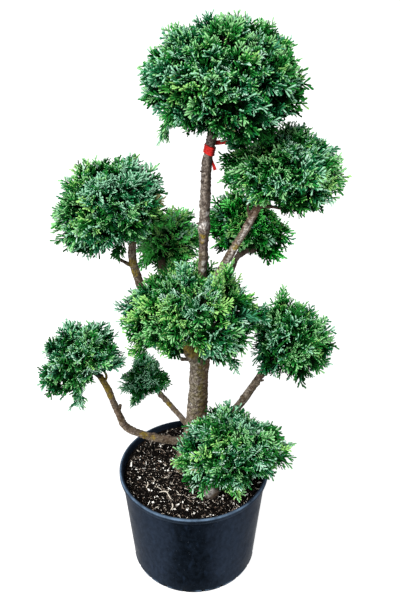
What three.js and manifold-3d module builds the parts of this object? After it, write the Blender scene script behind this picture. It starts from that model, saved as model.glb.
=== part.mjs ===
// Potted false cypress garden bonsai: a nursery pot, its compost, a trunk, bare boughs
// and ten clipped foliage masses. Millimetres, +Z up, origin at the centre of the pot's
// underside, +X to the right and -Y to the front.
import * as THREE from 'three';
import { mergeVertices } from 'three/addons/utils/BufferGeometryUtils.js';
import Module from 'manifold-3d';

const wasm = await Module();
wasm.setup();

// Clearance between neighbouring pieces, and the length under which an edge closes up.
const GAP = 0.3;
const SHORT_EDGE = 0.02;

// Nursery pot: a tapered shell with a rolled rim and drain notches round its foot.
const POT_HEIGHT = 250;
const POT_RIM_RADIUS = 165;
const POT_BASE_RADIUS = 138;
const POT_WALL = 3;
const POT_FLOOR = 4;
const POT_FOOT_ROUND = 5;
const RIM_DROP = 13;
const RIM_OVERHANG = 2.5;
const RIM_ROLL = 4;
const LIP_STEP = 1;
const POT_SIDES = 40;
const DRAIN_NOTCHES = 20;
const NOTCH_WIDTH = 6;
const NOTCH_HEIGHT = 5;
const NOTCH_DEPTH = 8;

// Compost: a plug that fills the pot to a little below the rim and falls off towards the wall.
const SOIL_LEVEL = 225;
const SOIL_FALL = 5;
const SOIL_FLAT_RADIUS = 95;

// Trunk: it leans to the right, flares at the foot and thins above the fork.
const TRUNK_POINTS = [
  [-10, 32, 205], [7, 31, 350], [12.5, 30, 490], [14.5, 30, 610], [19.5, 30, 740], [23, 30, 850],
  [27, 30, 950], [33.5, 30, 988], [43, 30, 1045],
];
const TRUNK_SIDES = 10;
const TRUNK_RINGS = 25;
const TRUNK_LOW_RADIUS = 19;
const TRUNK_HIGH_RADIUS = 9.2;
const TRUNK_THINS = [585, 715];
const FLARE = 13;
const FLARE_HEIGHT = 68;
const KNOT_LEVEL = 819;
const KNOT_SWELL = 2.6;
const KNOT_HEIGHT = 11;

// Boughs: smooth paths from the trunk's axis to the foliage, with the radius at each end. The
// lowest left one is two limbs on one path, a level run and a rise, parted at the bend.
const LEFT_LOW_POINTS = [
  [3, 31, 300], [-36, 19, 306], [-102, 15, 324], [-146, 12, 351], [-163, 9, 398], [-179, 6, 455],
  [-193, 2, 493],
];
const LEFT_LOW_BEND = 0.55;
const BOUGHS = {
  bough_left_low: { points: LEFT_LOW_POINTS, stretch: [0, LEFT_LOW_BEND], radii: [9.4, 7.8] },
  bough_left_rise: { points: LEFT_LOW_POINTS, stretch: [LEFT_LOW_BEND, 1], radii: [7.8, 6.2], swell: 0 },
  bough_small: {
    points: [[3, 32, 314], [-22, 60, 330], [-59, 96, 354], [-79, 109, 371]],
    radii: [6.4, 5.6], swell: 0.1,
  },
  bough_right_low: {
    points: [[6, 31, 306], [42, 37, 324], [96, 47, 378], [131, 50, 437], [167, 50, 504]],
    radii: [10.5, 7],
  },
  bough_front_low: {
    points: [[2, 31, 256], [24, -12, 246], [41, -52, 245], [58, -66, 268], [72, -68, 300]],
    radii: [11.5, 9.5],
  },
  bough_upper_left: {
    points: [
      [10, 30, 578], [-48, 36, 622], [-98, 42, 672], [-111, 46, 708], [-118.5, 48, 745], [-115, 46, 801],
    ],
    radii: [10.5, 7],
  },
  bough_back_left: {
    points: [[13, 33, 626], [-25, 80, 640], [-60, 122, 656], [-67, 154, 684]],
    radii: [9.5, 7.6],
  },
  bough_upper_right: {
    points: [[14, 30, 634], [57.5, 30, 733], [102, 30, 819], [135, 30, 891]],
    radii: [9, 6.6],
  },
  bough_back_right: {
    points: [
      [14, 32, 588], [43, 40, 650], [78, 55, 719.5], [88, 72, 734.5], [108, 95, 736.5],
      [126, 120, 725.5],
    ],
    radii: [9.2, 7],
  },
};
const BOUGH_SIDES = 7;
const BOUGH_RINGS = 10;
const BOUGH_ROOT_SWELL = 0.3;
const BOUGH_ROOT_LENGTH = 0.07;

// Foliage masses: the centre of each, how far it reaches to the side, to the front and back,
// up and down, how many twigs it has, and the limb that carries it. Its outline is how much of that
// reach it fills in sixteen directions round a plane that leans back, from the right and turning
// upwards. The trunk runs on through the centre mass, whose stem leaves it sideways.
const MASSES = {
  foliage_top: {
    centre: [51, 30, 1094], reach: [146, 136, 127, 96], twigs: 10, carrier: 'trunk',
    outline: [1.03, 1, 0.96, 0.95, 0.96, 0.96, 0.96, 0.98, 1, 0.93, 0.92, 0.89, 0.95, 1.03, 1.1, 1],
  },
  foliage_upper_right: {
    centre: [164, 26, 936], reach: [112, 104, 83, 75], twigs: 7, carrier: 'bough_upper_right',
    outline: [1.01, 0.97, 0.98, 1, 0.97, 0.9, 0.88, 0.95, 0.98, 0.98, 0.82, 0.8, 0.95, 1.05, 1.2, 1.13],
  },
  foliage_upper_left: {
    centre: [-159, 38, 857], reach: [113, 106, 98, 88], twigs: 8, carrier: 'bough_upper_left',
    outline: [1, 1.08, 1.11, 1.06, 1, 0.99, 0.94, 0.84, 0.91, 1.01, 1.12, 1.04, 0.78, 0.78, 0.82, 0.94],
  },
  foliage_back_left: {
    centre: [-55, 190, 721], reach: [64, 62, 70, 64], twigs: 5, carrier: 'bough_back_left',
    outline: [1.26, 1.18, 1.12, 1.04, 0.94, 0.98, 1, 1.06, 1.2, 1.36, 1.4, 1.3, 1.15, 1.18, 1.3, 1.3],
  },
  foliage_back_right: {
    centre: [119, 162, 757], reach: [84, 82, 79, 70], twigs: 6, carrier: 'bough_back_right',
    outline: [0.97, 0.7, 0.75, 0.95, 1, 1.05, 1.22, 1.18, 1.1, 1.12, 1, 0.7, 0.72, 1.04, 1.16, 1.1],
  },
  foliage_centre: {
    centre: [-9, 8, 640], reach: [144, 132, 88, 80], twigs: 9, carrier: 'trunk',
    stem: [[12, 30, 606], [-18, -40, 626]],
    outline: [1.05, 1.08, 1.14, 1.08, 1.04, 1.03, 1.03, 0.93, 0.98, 1.06, 0.86, 0.8, 0.66, 0.84, 1.17, 1.05],
  },
  foliage_left_low: {
    centre: [-228, 0, 528], reach: [93, 90, 86, 76], twigs: 6, carrier: 'bough_left_rise',
    outline: [1.12, 0.96, 1.08, 1.02, 1, 0.94, 0.9, 0.93, 0.89, 1, 1.16, 1.02, 0.66, 0.52, 0.36, 0.42],
  },
  foliage_small: {
    centre: [-110, 121, 402], reach: [61, 58, 62, 56], twigs: 4, carrier: 'bough_small',
    outline: [0.97, 0.84, 0.76, 0.94, 1.1, 0.84, 0.66, 0.62, 0.9, 1.2, 0.92, 1.24, 0.86, 0.6, 0.74, 0.92],
  },
  foliage_right_low: {
    centre: [206, 50, 554], reach: [89, 86, 96, 86], twigs: 6, carrier: 'bough_right_low',
    outline: [0.98, 0.92, 0.93, 0.87, 0.86, 0.9, 1.04, 1, 0.93, 0.97, 1.04, 0.98, 1.09, 1.18, 1.04, 1.01],
  },
  foliage_front_low: {
    centre: [86, -68, 354], reach: [127, 106, 95, 84], twigs: 8, carrier: 'bough_front_low',
    outline: [0.97, 0.93, 0.83, 0.83, 0.95, 1.01, 0.94, 0.96, 0.99, 1.02, 1.1, 0.92, 0.85, 0.78, 0.72, 0.9],
  },
};
const OUTLINE_LEAN = 30.6;
const OUTLINE_FACE = 0.95;
const CORE_SHARE = 0.73;
const CORE_LUMPS = 0.04;
const FEW_TWIGS = 8;
const CORE_CLEARANCE = 3;
const CORE_FACES = { few: 1, many: 2 };
const STEM_SHARE = 0.85;
const STEM_SIDES = 6;
const TWIG_SHARES = [0.6, 0.8];
const TWIG_RADII = [3.4, 2];
const TWIG_SIDES = 3;
const TWIG_JITTER = 0.16;
const SPRAY_ROOT_SHARE = 0.72;
const SIDE_ROOT_SHARE = 0.66;
const SIDE_ROOT_SPREAD = 0.2;
const SIDE_SPRAY_SPREAD = 0.95;
const SPRAY_WIDTH = 0.42;
const SPRAY_THICKNESS = 0.05;
const SIDE_TIP_STRAY = 0.05;
const LIMB_MARGIN = 4;
const NEAR_SHARE = 1.05;
const NEAR_STEPS = 40;
const REACH_SLACK = 0.12;
const SEED = 20261;

// A spray's toothed outline, two fingers a side: share of its length, and of its half width.
const SPRAY_EDGE = [[0, 0.08], [0.47, 1], [0.52, 0.36], [0.8, 0.8], [0.76, 0.26]];
const SPRAY_RIDGE = 0.45;

// Red tie: a band of tape round the trunk under the top mass, with one short hanging end.
const TIE_BAND = [968, 983];
const TIE_THICKNESS = 1.8;
const TIE_SEARCH_STEP = 0.001;
const TIE_END = { width: 4, thickness: 1, length: 22, overlap: 4, turn: 0.16 };

const FINISHES = {
  pot: { color: '#1b222b', roughness: 0.5 },
  soil: { color: '#2b221b', roughness: 0.95 },
  bark: { color: '#6f6455', roughness: 0.9 },
  foliage: { color: '#2f6f4a', roughness: 0.7 },
  tie: { color: '#c3202b', roughness: 0.45 },
};

// A repeatable stream of numbers from 0 to 1.
function seededStream(seed) {
  let state = seed;
  return () => {
    state = (state + 0x6d2b79f5) | 0;
    let mixed = Math.imul(state ^ (state >>> 15), 1 | state);
    mixed = (mixed + Math.imul(mixed ^ (mixed >>> 7), 61 | mixed)) ^ mixed;
    return ((mixed ^ (mixed >>> 14)) >>> 0) / 4294967296;
  };
}

// A closed geometry as a solid, its faces turned outwards and its point triangles dropped.
function solidOf(geometry) {
  const bare = geometry.clone();
  bare.deleteAttribute('normal');
  bare.deleteAttribute('uv');
  const merged = mergeVertices(bare, 1e-3);
  const vertices = merged.attributes.position.array;
  const triangles = [];
  let volume = 0;
  const [a, b, c] = [new THREE.Vector3(), new THREE.Vector3(), new THREE.Vector3()];
  for (let i = 0; i < merged.index.count; i += 3) {
    const corner = [0, 1, 2].map((k) => merged.index.getX(i + k));
    if (new Set(corner).size < 3) continue;
    triangles.push(corner);
    a.fromArray(vertices, 3 * corner[0]);
    b.fromArray(vertices, 3 * corner[1]);
    c.fromArray(vertices, 3 * corner[2]);
    volume += a.dot(b.cross(c));
  }
  const outward = volume > 0 ? triangles : triangles.map(([p, q, r]) => [p, r, q]);
  return new wasm.Manifold(new wasm.Mesh({
    numProp: 3,
    tolerance: SHORT_EDGE,
    vertProperties: new Float32Array(vertices),
    triVerts: new Uint32Array(outward.flat()),
  }));
}

// The largest body of a solid: loose scraps and sealed hollows are left out.
function largestBody(solid) {
  return solid.decompose().reduce((most, body) => (body.volume() > most.volume() ? body : most));
}

// A solid as a named mesh with its own finish.
function meshOf(name, solid, finish) {
  const { vertProperties, triVerts } = solid.getMesh();
  const geometry = new THREE.BufferGeometry();
  geometry.setAttribute('position', new THREE.BufferAttribute(new Float32Array(vertProperties), 3));
  geometry.setIndex(new THREE.BufferAttribute(new Uint32Array(triVerts), 1));
  geometry.computeVertexNormals();
  const material = new THREE.MeshStandardMaterial({ metalness: 0, ...FINISHES[finish] });
  const mesh = new THREE.Mesh(geometry, material);
  mesh.name = name;
  return mesh;
}

// A profile of [radius, height] pairs turned about the vertical axis.
function turned(profile) {
  const outline = profile.map(([radius, height]) => new THREE.Vector2(radius, height));
  return solidOf(new THREE.LatheGeometry(outline, POT_SIDES).rotateX(Math.PI / 2));
}

// A closed prism between two points, tapering from one radius to the other.
function prism(from, to, fromRadius, toRadius, sides) {
  const along = to.clone().sub(from);
  const geometry = new THREE.CylinderGeometry(toRadius, fromRadius, along.length(), sides);
  const turn = new THREE.Quaternion().setFromUnitVectors(
    new THREE.Vector3(0, 1, 0), along.clone().normalize(),
  );
  const middle = from.clone().lerp(to, 0.5);
  return solidOf(geometry.applyQuaternion(turn).translate(middle.x, middle.y, middle.z));
}

// Radius of the pot's outer wall at a height.
function wallRadius(height) {
  const underRim = POT_RIM_RADIUS - RIM_OVERHANG;
  return POT_BASE_RADIUS + ((underRim - POT_BASE_RADIUS) * height) / (POT_HEIGHT - RIM_DROP);
}

function potSolid() {
  const rimFoot = POT_HEIGHT - RIM_DROP;
  const rimMiddle = POT_HEIGHT - RIM_ROLL;
  const profile = [
    [0, 0], [POT_BASE_RADIUS - POT_FOOT_ROUND, 0], [wallRadius(POT_FOOT_ROUND), POT_FOOT_ROUND],
    [wallRadius(rimFoot), rimFoot], [POT_RIM_RADIUS - LIP_STEP, rimFoot],
    [POT_RIM_RADIUS - LIP_STEP, rimFoot + LIP_STEP * 3], [POT_RIM_RADIUS, rimFoot + LIP_STEP * 4],
    [POT_RIM_RADIUS, rimMiddle],
  ];
  for (const turn of [0.25, 0.5, 0.75]) {
    const angle = Math.PI * turn;
    profile.push([
      POT_RIM_RADIUS - RIM_ROLL + RIM_ROLL * Math.cos(angle), rimMiddle + RIM_ROLL * Math.sin(angle),
    ]);
  }
  profile.push([POT_RIM_RADIUS - 2 * RIM_ROLL, rimMiddle]);
  profile.push([wallRadius(rimFoot) - POT_WALL, rimFoot]);
  profile.push([wallRadius(POT_FLOOR) - POT_WALL, POT_FLOOR], [0, POT_FLOOR]);
  let pot = turned(profile);
  for (let i = 0; i < DRAIN_NOTCHES; i += 1) {
    const angle = ((i + 0.5) / DRAIN_NOTCHES) * 2 * Math.PI;
    const notch = new THREE.BoxGeometry(2 * NOTCH_DEPTH, NOTCH_WIDTH, 2 * NOTCH_HEIGHT);
    notch.translate(POT_BASE_RADIUS, 0, 0).rotateZ(angle);
    pot = pot.subtract(solidOf(notch));
  }
  return pot;
}

function soilSolid() {
  const foot = POT_FLOOR + GAP;
  const edge = SOIL_LEVEL - SOIL_FALL;
  const inside = (height) => wallRadius(height) - POT_WALL - GAP;
  return turned([[0, foot], [inside(foot), foot], [inside(edge), edge], [SOIL_FLAT_RADIUS, SOIL_LEVEL],
    [0, SOIL_LEVEL]]);
}

// Radius of the trunk at a height: a smooth thinning, the foot's flare and the old knot.
function trunkRadius(height) {
  const thinned = THREE.MathUtils.smoothstep(height, ...TRUNK_THINS);
  const taper = THREE.MathUtils.lerp(TRUNK_LOW_RADIUS, TRUNK_HIGH_RADIUS, thinned);
  const flare = FLARE * Math.exp(-Math.max(height - SOIL_LEVEL, 0) / FLARE_HEIGHT);
  const knot = KNOT_SWELL * Math.exp(-(((height - KNOT_LEVEL) / KNOT_HEIGHT) ** 2));
  return taper + flare + knot;
}

// Radius of a bough at a share of its length: an even taper with a swollen root.
function boughRadius([root, tip], swell, share) {
  const taper = THREE.MathUtils.lerp(root, tip, share);
  return taper * (1 + swell * Math.exp(-share / BOUGH_ROOT_LENGTH));
}

// A smooth curve through points, or the stretch of it between two shares of its length.
function pathOf(points, [from, to] = [0, 1]) {
  const through = (list) => new THREE.CatmullRomCurve3(list, false, 'centripetal');
  const whole = through(points.map((p) => new THREE.Vector3(...p)));
  if (to - from === 1) return whole;
  return through(points.map((_, i) => (
    whole.getPointAt(THREE.MathUtils.lerp(from, to, i / (points.length - 1)))
  )));
}

// Every limb by name, with its path and its radius at a share of its length.
function limbTable() {
  const trunkPath = pathOf(TRUNK_POINTS);
  const limbs = {
    trunk: {
      path: trunkPath, sides: TRUNK_SIDES, rings: TRUNK_RINGS,
      radiusAt: (share) => trunkRadius(trunkPath.getPointAt(share).z),
    },
  };
  for (const [name, { points, stretch, radii, swell = BOUGH_ROOT_SWELL }] of Object.entries(BOUGHS)) {
    limbs[name] = {
      path: pathOf(points, stretch), sides: BOUGH_SIDES, rings: BOUGH_RINGS,
      radiusAt: (share) => boughRadius(radii, swell, share),
    };
  }
  for (const limb of Object.values(limbs)) {
    limb.tip = limb.path.getPointAt(1);
    limb.heading = limb.path.getTangentAt(1);
    limb.tipRadius = limb.radiusAt(1);
  }
  return limbs;
}

// A limb's solid: rings set square to its path. With extra, every face lies that much further out.
function limbSolid({ path, sides, rings, radiusAt }, extra = 0) {
  const frames = path.computeFrenetFrames(rings, false);
  const geometry = new THREE.CylinderGeometry(1, 1, 1, sides, rings);
  const position = geometry.attributes.position;
  for (let i = 0; i < position.count; i += 1) {
    const ring = Math.round((position.getY(i) + 0.5) * rings);
    const share = ring / rings;
    const radius = radiusAt(share) + extra;
    const point = path.getPointAt(share);
    point.addScaledVector(frames.normals[ring], radius * position.getX(i));
    point.addScaledVector(frames.binormals[ring], radius * position.getZ(i));
    if (ring === 0) point.addScaledVector(frames.tangents[ring], -extra);
    if (ring === rings) point.addScaledVector(frames.tangents[ring], extra);
    position.setXYZ(i, point.x, point.y, point.z);
  }
  return solidOf(geometry);
}

// All that lies below the flat cut at the trunk's foot.
function belowGround() {
  const side = 4 * POT_RIM_RADIUS;
  const block = new THREE.BoxGeometry(side, side, side);
  return solidOf(block.translate(0, 0, SOIL_LEVEL + GAP - side / 2));
}

// How much of its reach a mass fills in a direction: its outline there, drawn evenly towards one
// share in front of and behind the outline's plane.
function outlineShare(outline, x, y, z) {
  const lean = THREE.MathUtils.degToRad(OUTLINE_LEAN);
  const up = y * Math.sin(lean) + z * Math.cos(lean);
  const away = (y * Math.cos(lean) - z * Math.sin(lean)) / (Math.hypot(x, y, z) || 1);
  const turn = (Math.atan2(up, x) / (2 * Math.PI) + 1) * outline.length;
  const here = Math.floor(turn);
  const [before, after] = [here, here + 1].map((i) => outline[i % outline.length]);
  const edge = THREE.MathUtils.lerp(before, after, THREE.MathUtils.smoothstep(turn - here, 0, 1));
  return THREE.MathUtils.lerp(edge, OUTLINE_FACE, away * away);
}

// How far out a point lies in a mass: 0 at its centre and 1 at its outline.
function depthIn({ centre, reach, outline }, point) {
  const [x, y, z] = [point.x - centre[0], point.y - centre[1], point.z - centre[2]];
  const depth = Math.hypot(x / reach[0], y / reach[1], z / (z > 0 ? reach[2] : reach[3]));
  return depth / outlineShare(outline, x, y, z);
}

// The point at a share of a mass's outline in a direction.
function pointIn(mass, direction, share) {
  const length = share / depthIn({ ...mass, centre: [0, 0, 0] }, direction);
  return new THREE.Vector3(...mass.centre).addScaledVector(direction, length);
}

// Directions spread evenly over a ball by the golden angle, each a little astray.
function spreadDirections(count, random) {
  const golden = Math.PI * (3 - Math.sqrt(5));
  return Array.from({ length: count }, (_, i) => {
    const height = 1 - (2 * i) / (count - 1);
    const width = Math.sqrt(1 - height * height);
    const stray = () => (random() - 0.5) * 2 * TWIG_JITTER;
    const direction = new THREE.Vector3(width * Math.cos(golden * i), width * Math.sin(golden * i), height);
    if (i > 0) direction.add(new THREE.Vector3(stray(), stray(), stray()));
    return direction.normalize();
  });
}

// A direction with no preference.
function anyDirection(random) {
  return new THREE.Vector3(random() - 0.5, random() - 0.5, random() - 0.5).normalize();
}

// A flat spray: a toothed outline drawn to a low ridge on both faces.
function spraySolid(root, tip, across) {
  const along = tip.clone().sub(root);
  const length = along.length();
  const side = across.clone().addScaledVector(along, -across.dot(along) / length ** 2).normalize();
  const normal = along.clone().cross(side).normalize();
  const at = (share, width) => root.clone().addScaledVector(along, share)
    .addScaledVector(side, width * SPRAY_WIDTH * length);
  const right = SPRAY_EDGE.map(([share, width]) => at(share, width));
  const left = SPRAY_EDGE.map(([share, width]) => at(share, -width)).reverse();
  const outline = [...right, tip.clone(), ...left];
  const ridge = at(SPRAY_RIDGE, 0);
  const faces = [1, -1].map((turn) => ridge.clone().addScaledVector(normal, turn * SPRAY_THICKNESS * length));
  const corners = [...outline, ...faces];
  const index = outline.flatMap((_, i) => {
    const next = (i + 1) % outline.length;
    return [i, next, outline.length, next, i, outline.length + 1];
  });
  const geometry = new THREE.BufferGeometry().setFromPoints(corners);
  geometry.setIndex(index);
  return { solid: solidOf(geometry), outline };
}

// The distance from a point to a limb's surface.
function distanceToLimb({ path, radiusAt, rings }, point) {
  let nearest = Infinity;
  for (let i = 0; i <= 2 * rings; i += 1) {
    const share = i / (2 * rings);
    nearest = Math.min(nearest, path.getPointAt(share).distanceTo(point) - radiusAt(share));
  }
  return nearest;
}

// Whether a spray keeps to its own mass, and off the limbs, the other masses and the pot.
function keepsClear(name, outline, limbs) {
  return outline.every((point) => {
    const offLimbs = Object.values(limbs).every((limb) => distanceToLimb(limb, point) > LIMB_MARGIN);
    const offMasses = Object.keys(MASSES).every(
      (other) => other === name || depthIn(MASSES[other], point) > 1,
    );
    const offPot = point.z > POT_HEIGHT + LIMB_MARGIN;
    return offLimbs && offMasses && offPot && depthIn(MASSES[name], point) <= 1 + REACH_SLACK;
  });
}

// A mass's core: a lumpy ball that fills most of its outline.
function coreGeometry(mass, random) {
  const ball = new THREE.IcosahedronGeometry(1, mass.twigs > FEW_TWIGS ? CORE_FACES.many : CORE_FACES.few);
  ball.deleteAttribute('normal');
  ball.deleteAttribute('uv');
  const core = mergeVertices(ball, 1e-3);
  const position = core.attributes.position;
  for (let i = 0; i < position.count; i += 1) {
    const direction = new THREE.Vector3().fromBufferAttribute(position, i);
    const share = CORE_SHARE + (random() - 0.5) * 2 * CORE_LUMPS;
    const point = pointIn(mass, direction, share);
    position.setXYZ(i, point.x, point.y, point.z);
  }
  return core;
}

// A mass: a stem from its limb into a clipped core, twigs out of the core, and three sprays a twig.
function massSolid(name, limbs, seed) {
  const mass = MASSES[name];
  const random = seededStream(seed);
  const carrier = limbs[mass.carrier];
  const near = Object.values(limbs).filter((limb) => limb === carrier
    || limb.path.getSpacedPoints(NEAR_STEPS).some((point) => depthIn(mass, point) < NEAR_SHARE));
  let fused = solidOf(coreGeometry(mass, random));
  for (const limb of near) fused = fused.subtract(limbSolid(limb, CORE_CLEARANCE));
  fused = largestBody(fused);

  const [stemFoot, stemHead] = mass.stem
    ? mass.stem.map((p) => new THREE.Vector3(...p))
    : [carrier.tip.clone().addScaledVector(carrier.heading, -2 * GAP), new THREE.Vector3(...mass.centre)];
  const stemRadius = STEM_SHARE * carrier.tipRadius;
  fused = fused.add(prism(stemFoot, stemHead, stemRadius, stemRadius * STEM_SHARE, STEM_SIDES));

  for (const direction of spreadDirections(mass.twigs, random)) {
    const foot = pointIn(mass, direction, TWIG_SHARES[0]);
    const head = pointIn(mass, direction, TWIG_SHARES[1]);
    const side = anyDirection(random).cross(direction).normalize();
    const twist = side.clone().cross(direction).normalize();
    let grown = false;
    for (const spread of [0, 1, -1]) {
      const lean = direction.clone().addScaledVector(side, spread * SIDE_SPRAY_SPREAD).normalize();
      const seat = direction.clone().addScaledVector(side, spread * SIDE_ROOT_SPREAD).normalize();
      const root = pointIn(mass, seat, spread ? SIDE_ROOT_SHARE : SPRAY_ROOT_SHARE);
      const tip = pointIn(mass, lean, 1 - SIDE_TIP_STRAY * Math.abs(spread) * random());
      const across = twist.clone().addScaledVector(spread ? direction : side, random() - 0.5);
      const spray = spraySolid(root, tip, across);
      if (!keepsClear(name, spray.outline, limbs)) continue;
      fused = fused.add(spray.solid);
      grown = true;
    }
    if (grown) fused = fused.add(prism(foot, head, ...TWIG_RADII, TWIG_SIDES));
  }
  for (const limb of near) fused = fused.subtract(limbSolid(limb, GAP));
  return largestBody(fused);
}

// The stretch of the trunk between two heights, wrapped by a band, with an end hanging off it.
function tieSolid({ path, sides, radiusAt }, trunkRoom) {
  const shareAt = (height) => {
    let share = 0;
    while (path.getPointAt(share).z < height) share += TIE_SEARCH_STEP;
    return share;
  };
  const [low, high] = TIE_BAND.map(shareAt);
  const stretch = new THREE.LineCurve3(path.getPointAt(low), path.getPointAt(high));
  const outside = (share) => radiusAt(THREE.MathUtils.lerp(low, high, share)) + GAP + TIE_THICKNESS;
  const band = limbSolid({ path: stretch, sides, rings: 2, radiusAt: outside });
  const foot = path.getPointAt(low);
  const strip = new THREE.BoxGeometry(TIE_END.thickness, TIE_END.width, TIE_END.length);
  strip.translate(0, 0, TIE_END.overlap - TIE_END.length / 2).rotateY(-TIE_END.turn);
  strip.translate(foot.x + outside(0) - TIE_END.thickness / 2, foot.y, foot.z);
  return largestBody(band.add(solidOf(strip)).subtract(trunkRoom));
}

const plant = new THREE.Group();
const limbs = limbTable();
const trunkRoom = limbSolid(limbs.trunk, GAP);
const ground = belowGround();

plant.add(meshOf('pot', potSolid(), 'pot'));
plant.add(meshOf('soil', soilSolid(), 'soil'));
plant.add(meshOf('trunk', limbSolid(limbs.trunk).subtract(ground), 'bark'));

const lowRunRoom = limbSolid(limbs.bough_left_low, GAP);
for (const name of Object.keys(BOUGHS)) {
  const limb = limbSolid(limbs[name]);
  const seated = name === 'bough_left_rise' ? limb.subtract(lowRunRoom) : limb.subtract(trunkRoom);
  plant.add(meshOf(name, largestBody(seated), 'bark'));
}

Object.keys(MASSES).forEach((name, i) => {
  plant.add(meshOf(name, massSolid(name, limbs, SEED + i), 'foliage'));
});

plant.add(meshOf('tie_band', tieSolid(limbs.trunk, trunkRoom), 'tie'));

export default plant;
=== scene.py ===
"""Looks of a potted false cypress garden bonsai, built in metres round its solids: bark with relief,
foliage that grows on from the limbs, loose compost, a dusty nursery pot and a red plastic tie."""
import math
from collections import namedtuple

import bpy
import numpy as np
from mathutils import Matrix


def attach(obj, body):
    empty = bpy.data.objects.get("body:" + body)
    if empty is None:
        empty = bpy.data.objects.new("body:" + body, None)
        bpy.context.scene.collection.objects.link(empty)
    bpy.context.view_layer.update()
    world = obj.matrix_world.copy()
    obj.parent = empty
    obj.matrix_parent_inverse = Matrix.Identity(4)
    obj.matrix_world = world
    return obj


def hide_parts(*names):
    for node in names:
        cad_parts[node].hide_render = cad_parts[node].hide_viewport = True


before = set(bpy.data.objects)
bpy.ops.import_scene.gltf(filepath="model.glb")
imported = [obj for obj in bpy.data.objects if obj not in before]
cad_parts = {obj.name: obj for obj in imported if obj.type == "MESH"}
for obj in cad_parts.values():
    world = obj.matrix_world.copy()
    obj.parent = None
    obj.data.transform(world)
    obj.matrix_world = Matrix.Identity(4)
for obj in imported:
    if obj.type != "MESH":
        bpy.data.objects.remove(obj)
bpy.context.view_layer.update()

SEED = 20261

# View: the camera's place, and how far down it looks from level, in degrees.
VIEW_PLACE = (0.0140, -1.404, 1.508)
VIEW_TILT = 30.6
VIEW_LENS = 50

# Light: a broad soft key with the angles it is turned by, an even sky and a floor that glows a little.
KEY_STRENGTH = 5.2
KEY_SPREAD = 36
KEY_TURN = (36, -26, 0)
KEY_COLOR = (1.0, 0.98, 0.95)
SKY_STRENGTH = 0.58
SKY_COLOR = (0.96, 0.98, 1.0, 1.0)
FLOOR_GREY = (0.22, 0.22, 0.22)
FLOOR_GLOW = 0.92
FLOOR_HALF = 30

# Pot: a tapered shell with a rolled rim and drain notches round its foot.
POT_HEIGHT = 0.250
POT_RIM_RADIUS = 0.165
POT_BASE_RADIUS = 0.138
POT_WALL = 0.003
POT_FLOOR = 0.004
POT_FOOT_ROUND = 0.005
POT_SIDES = 360
POT_WOBBLE = 0.0006
RIM_DROP = 0.013
RIM_OVERHANG = 0.0058
RIM_ROLL = 0.004
LIP_STEP = 0.001
DRAIN_NOTCHES = 20
NOTCH_WIDTH = 0.0075
NOTCH_HEIGHT = 0.0100
NOTCH_SILL = 0.0008
NOTCH_DEPTH = 0.008
FOOT_ROWS = 28
SEAM_LEVEL = 0.0074
SEAM_HEIGHT = 0.0009
SEAM_SWELL = 0.0007

# Compost: flat in the middle, falling off towards the wall in front and banked up against it at the back.
SOIL_LEVEL = 0.225
SOIL_FALL = 0.005
SOIL_FLAT_RADIUS = 0.095
SOIL_BANK = 0.019
SOIL_GAP = 0.0004
SOIL_ROWS = 90
SOIL_SIDES = 300
CRUMBS = 4200
SLIVERS = 900
GRAINS = 620

# Trunk: it leans to the right, flares at the foot and thins above the fork.
TRUNK_POINTS = (
    (-0.012, 0.032, 0.205), (0.0052, 0.031, 0.350), (0.0125, 0.030, 0.490), (0.0145, 0.030, 0.610),
    (0.0195, 0.030, 0.740), (0.023, 0.030, 0.850), (0.027, 0.030, 0.950), (0.0335, 0.030, 0.988),
    (0.043, 0.030, 1.045),
)
TRUNK_RINGS = 400
TRUNK_LOW_RADIUS = 0.0197
TRUNK_HIGH_RADIUS = 0.0092
TRUNK_THINS = (0.585, 0.715)
FLARE = 0.017
FLARE_HEIGHT = 0.074
KNOT_LEVEL = 0.819
KNOT_SWELL = 0.0026
KNOT_HEIGHT = 0.011
WHORL_LEVEL = 0.548
WHORL_SWELL = 0.0030
WHORL_HEIGHT = 0.030
WAIST_LEVEL = 0.415
WAIST_DEPTH = 0.0006
WAIST_HEIGHT = 0.050
TIE_WAIST_DEPTH = 0.0012
TIE_WAIST_HEIGHT = 0.012

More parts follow.
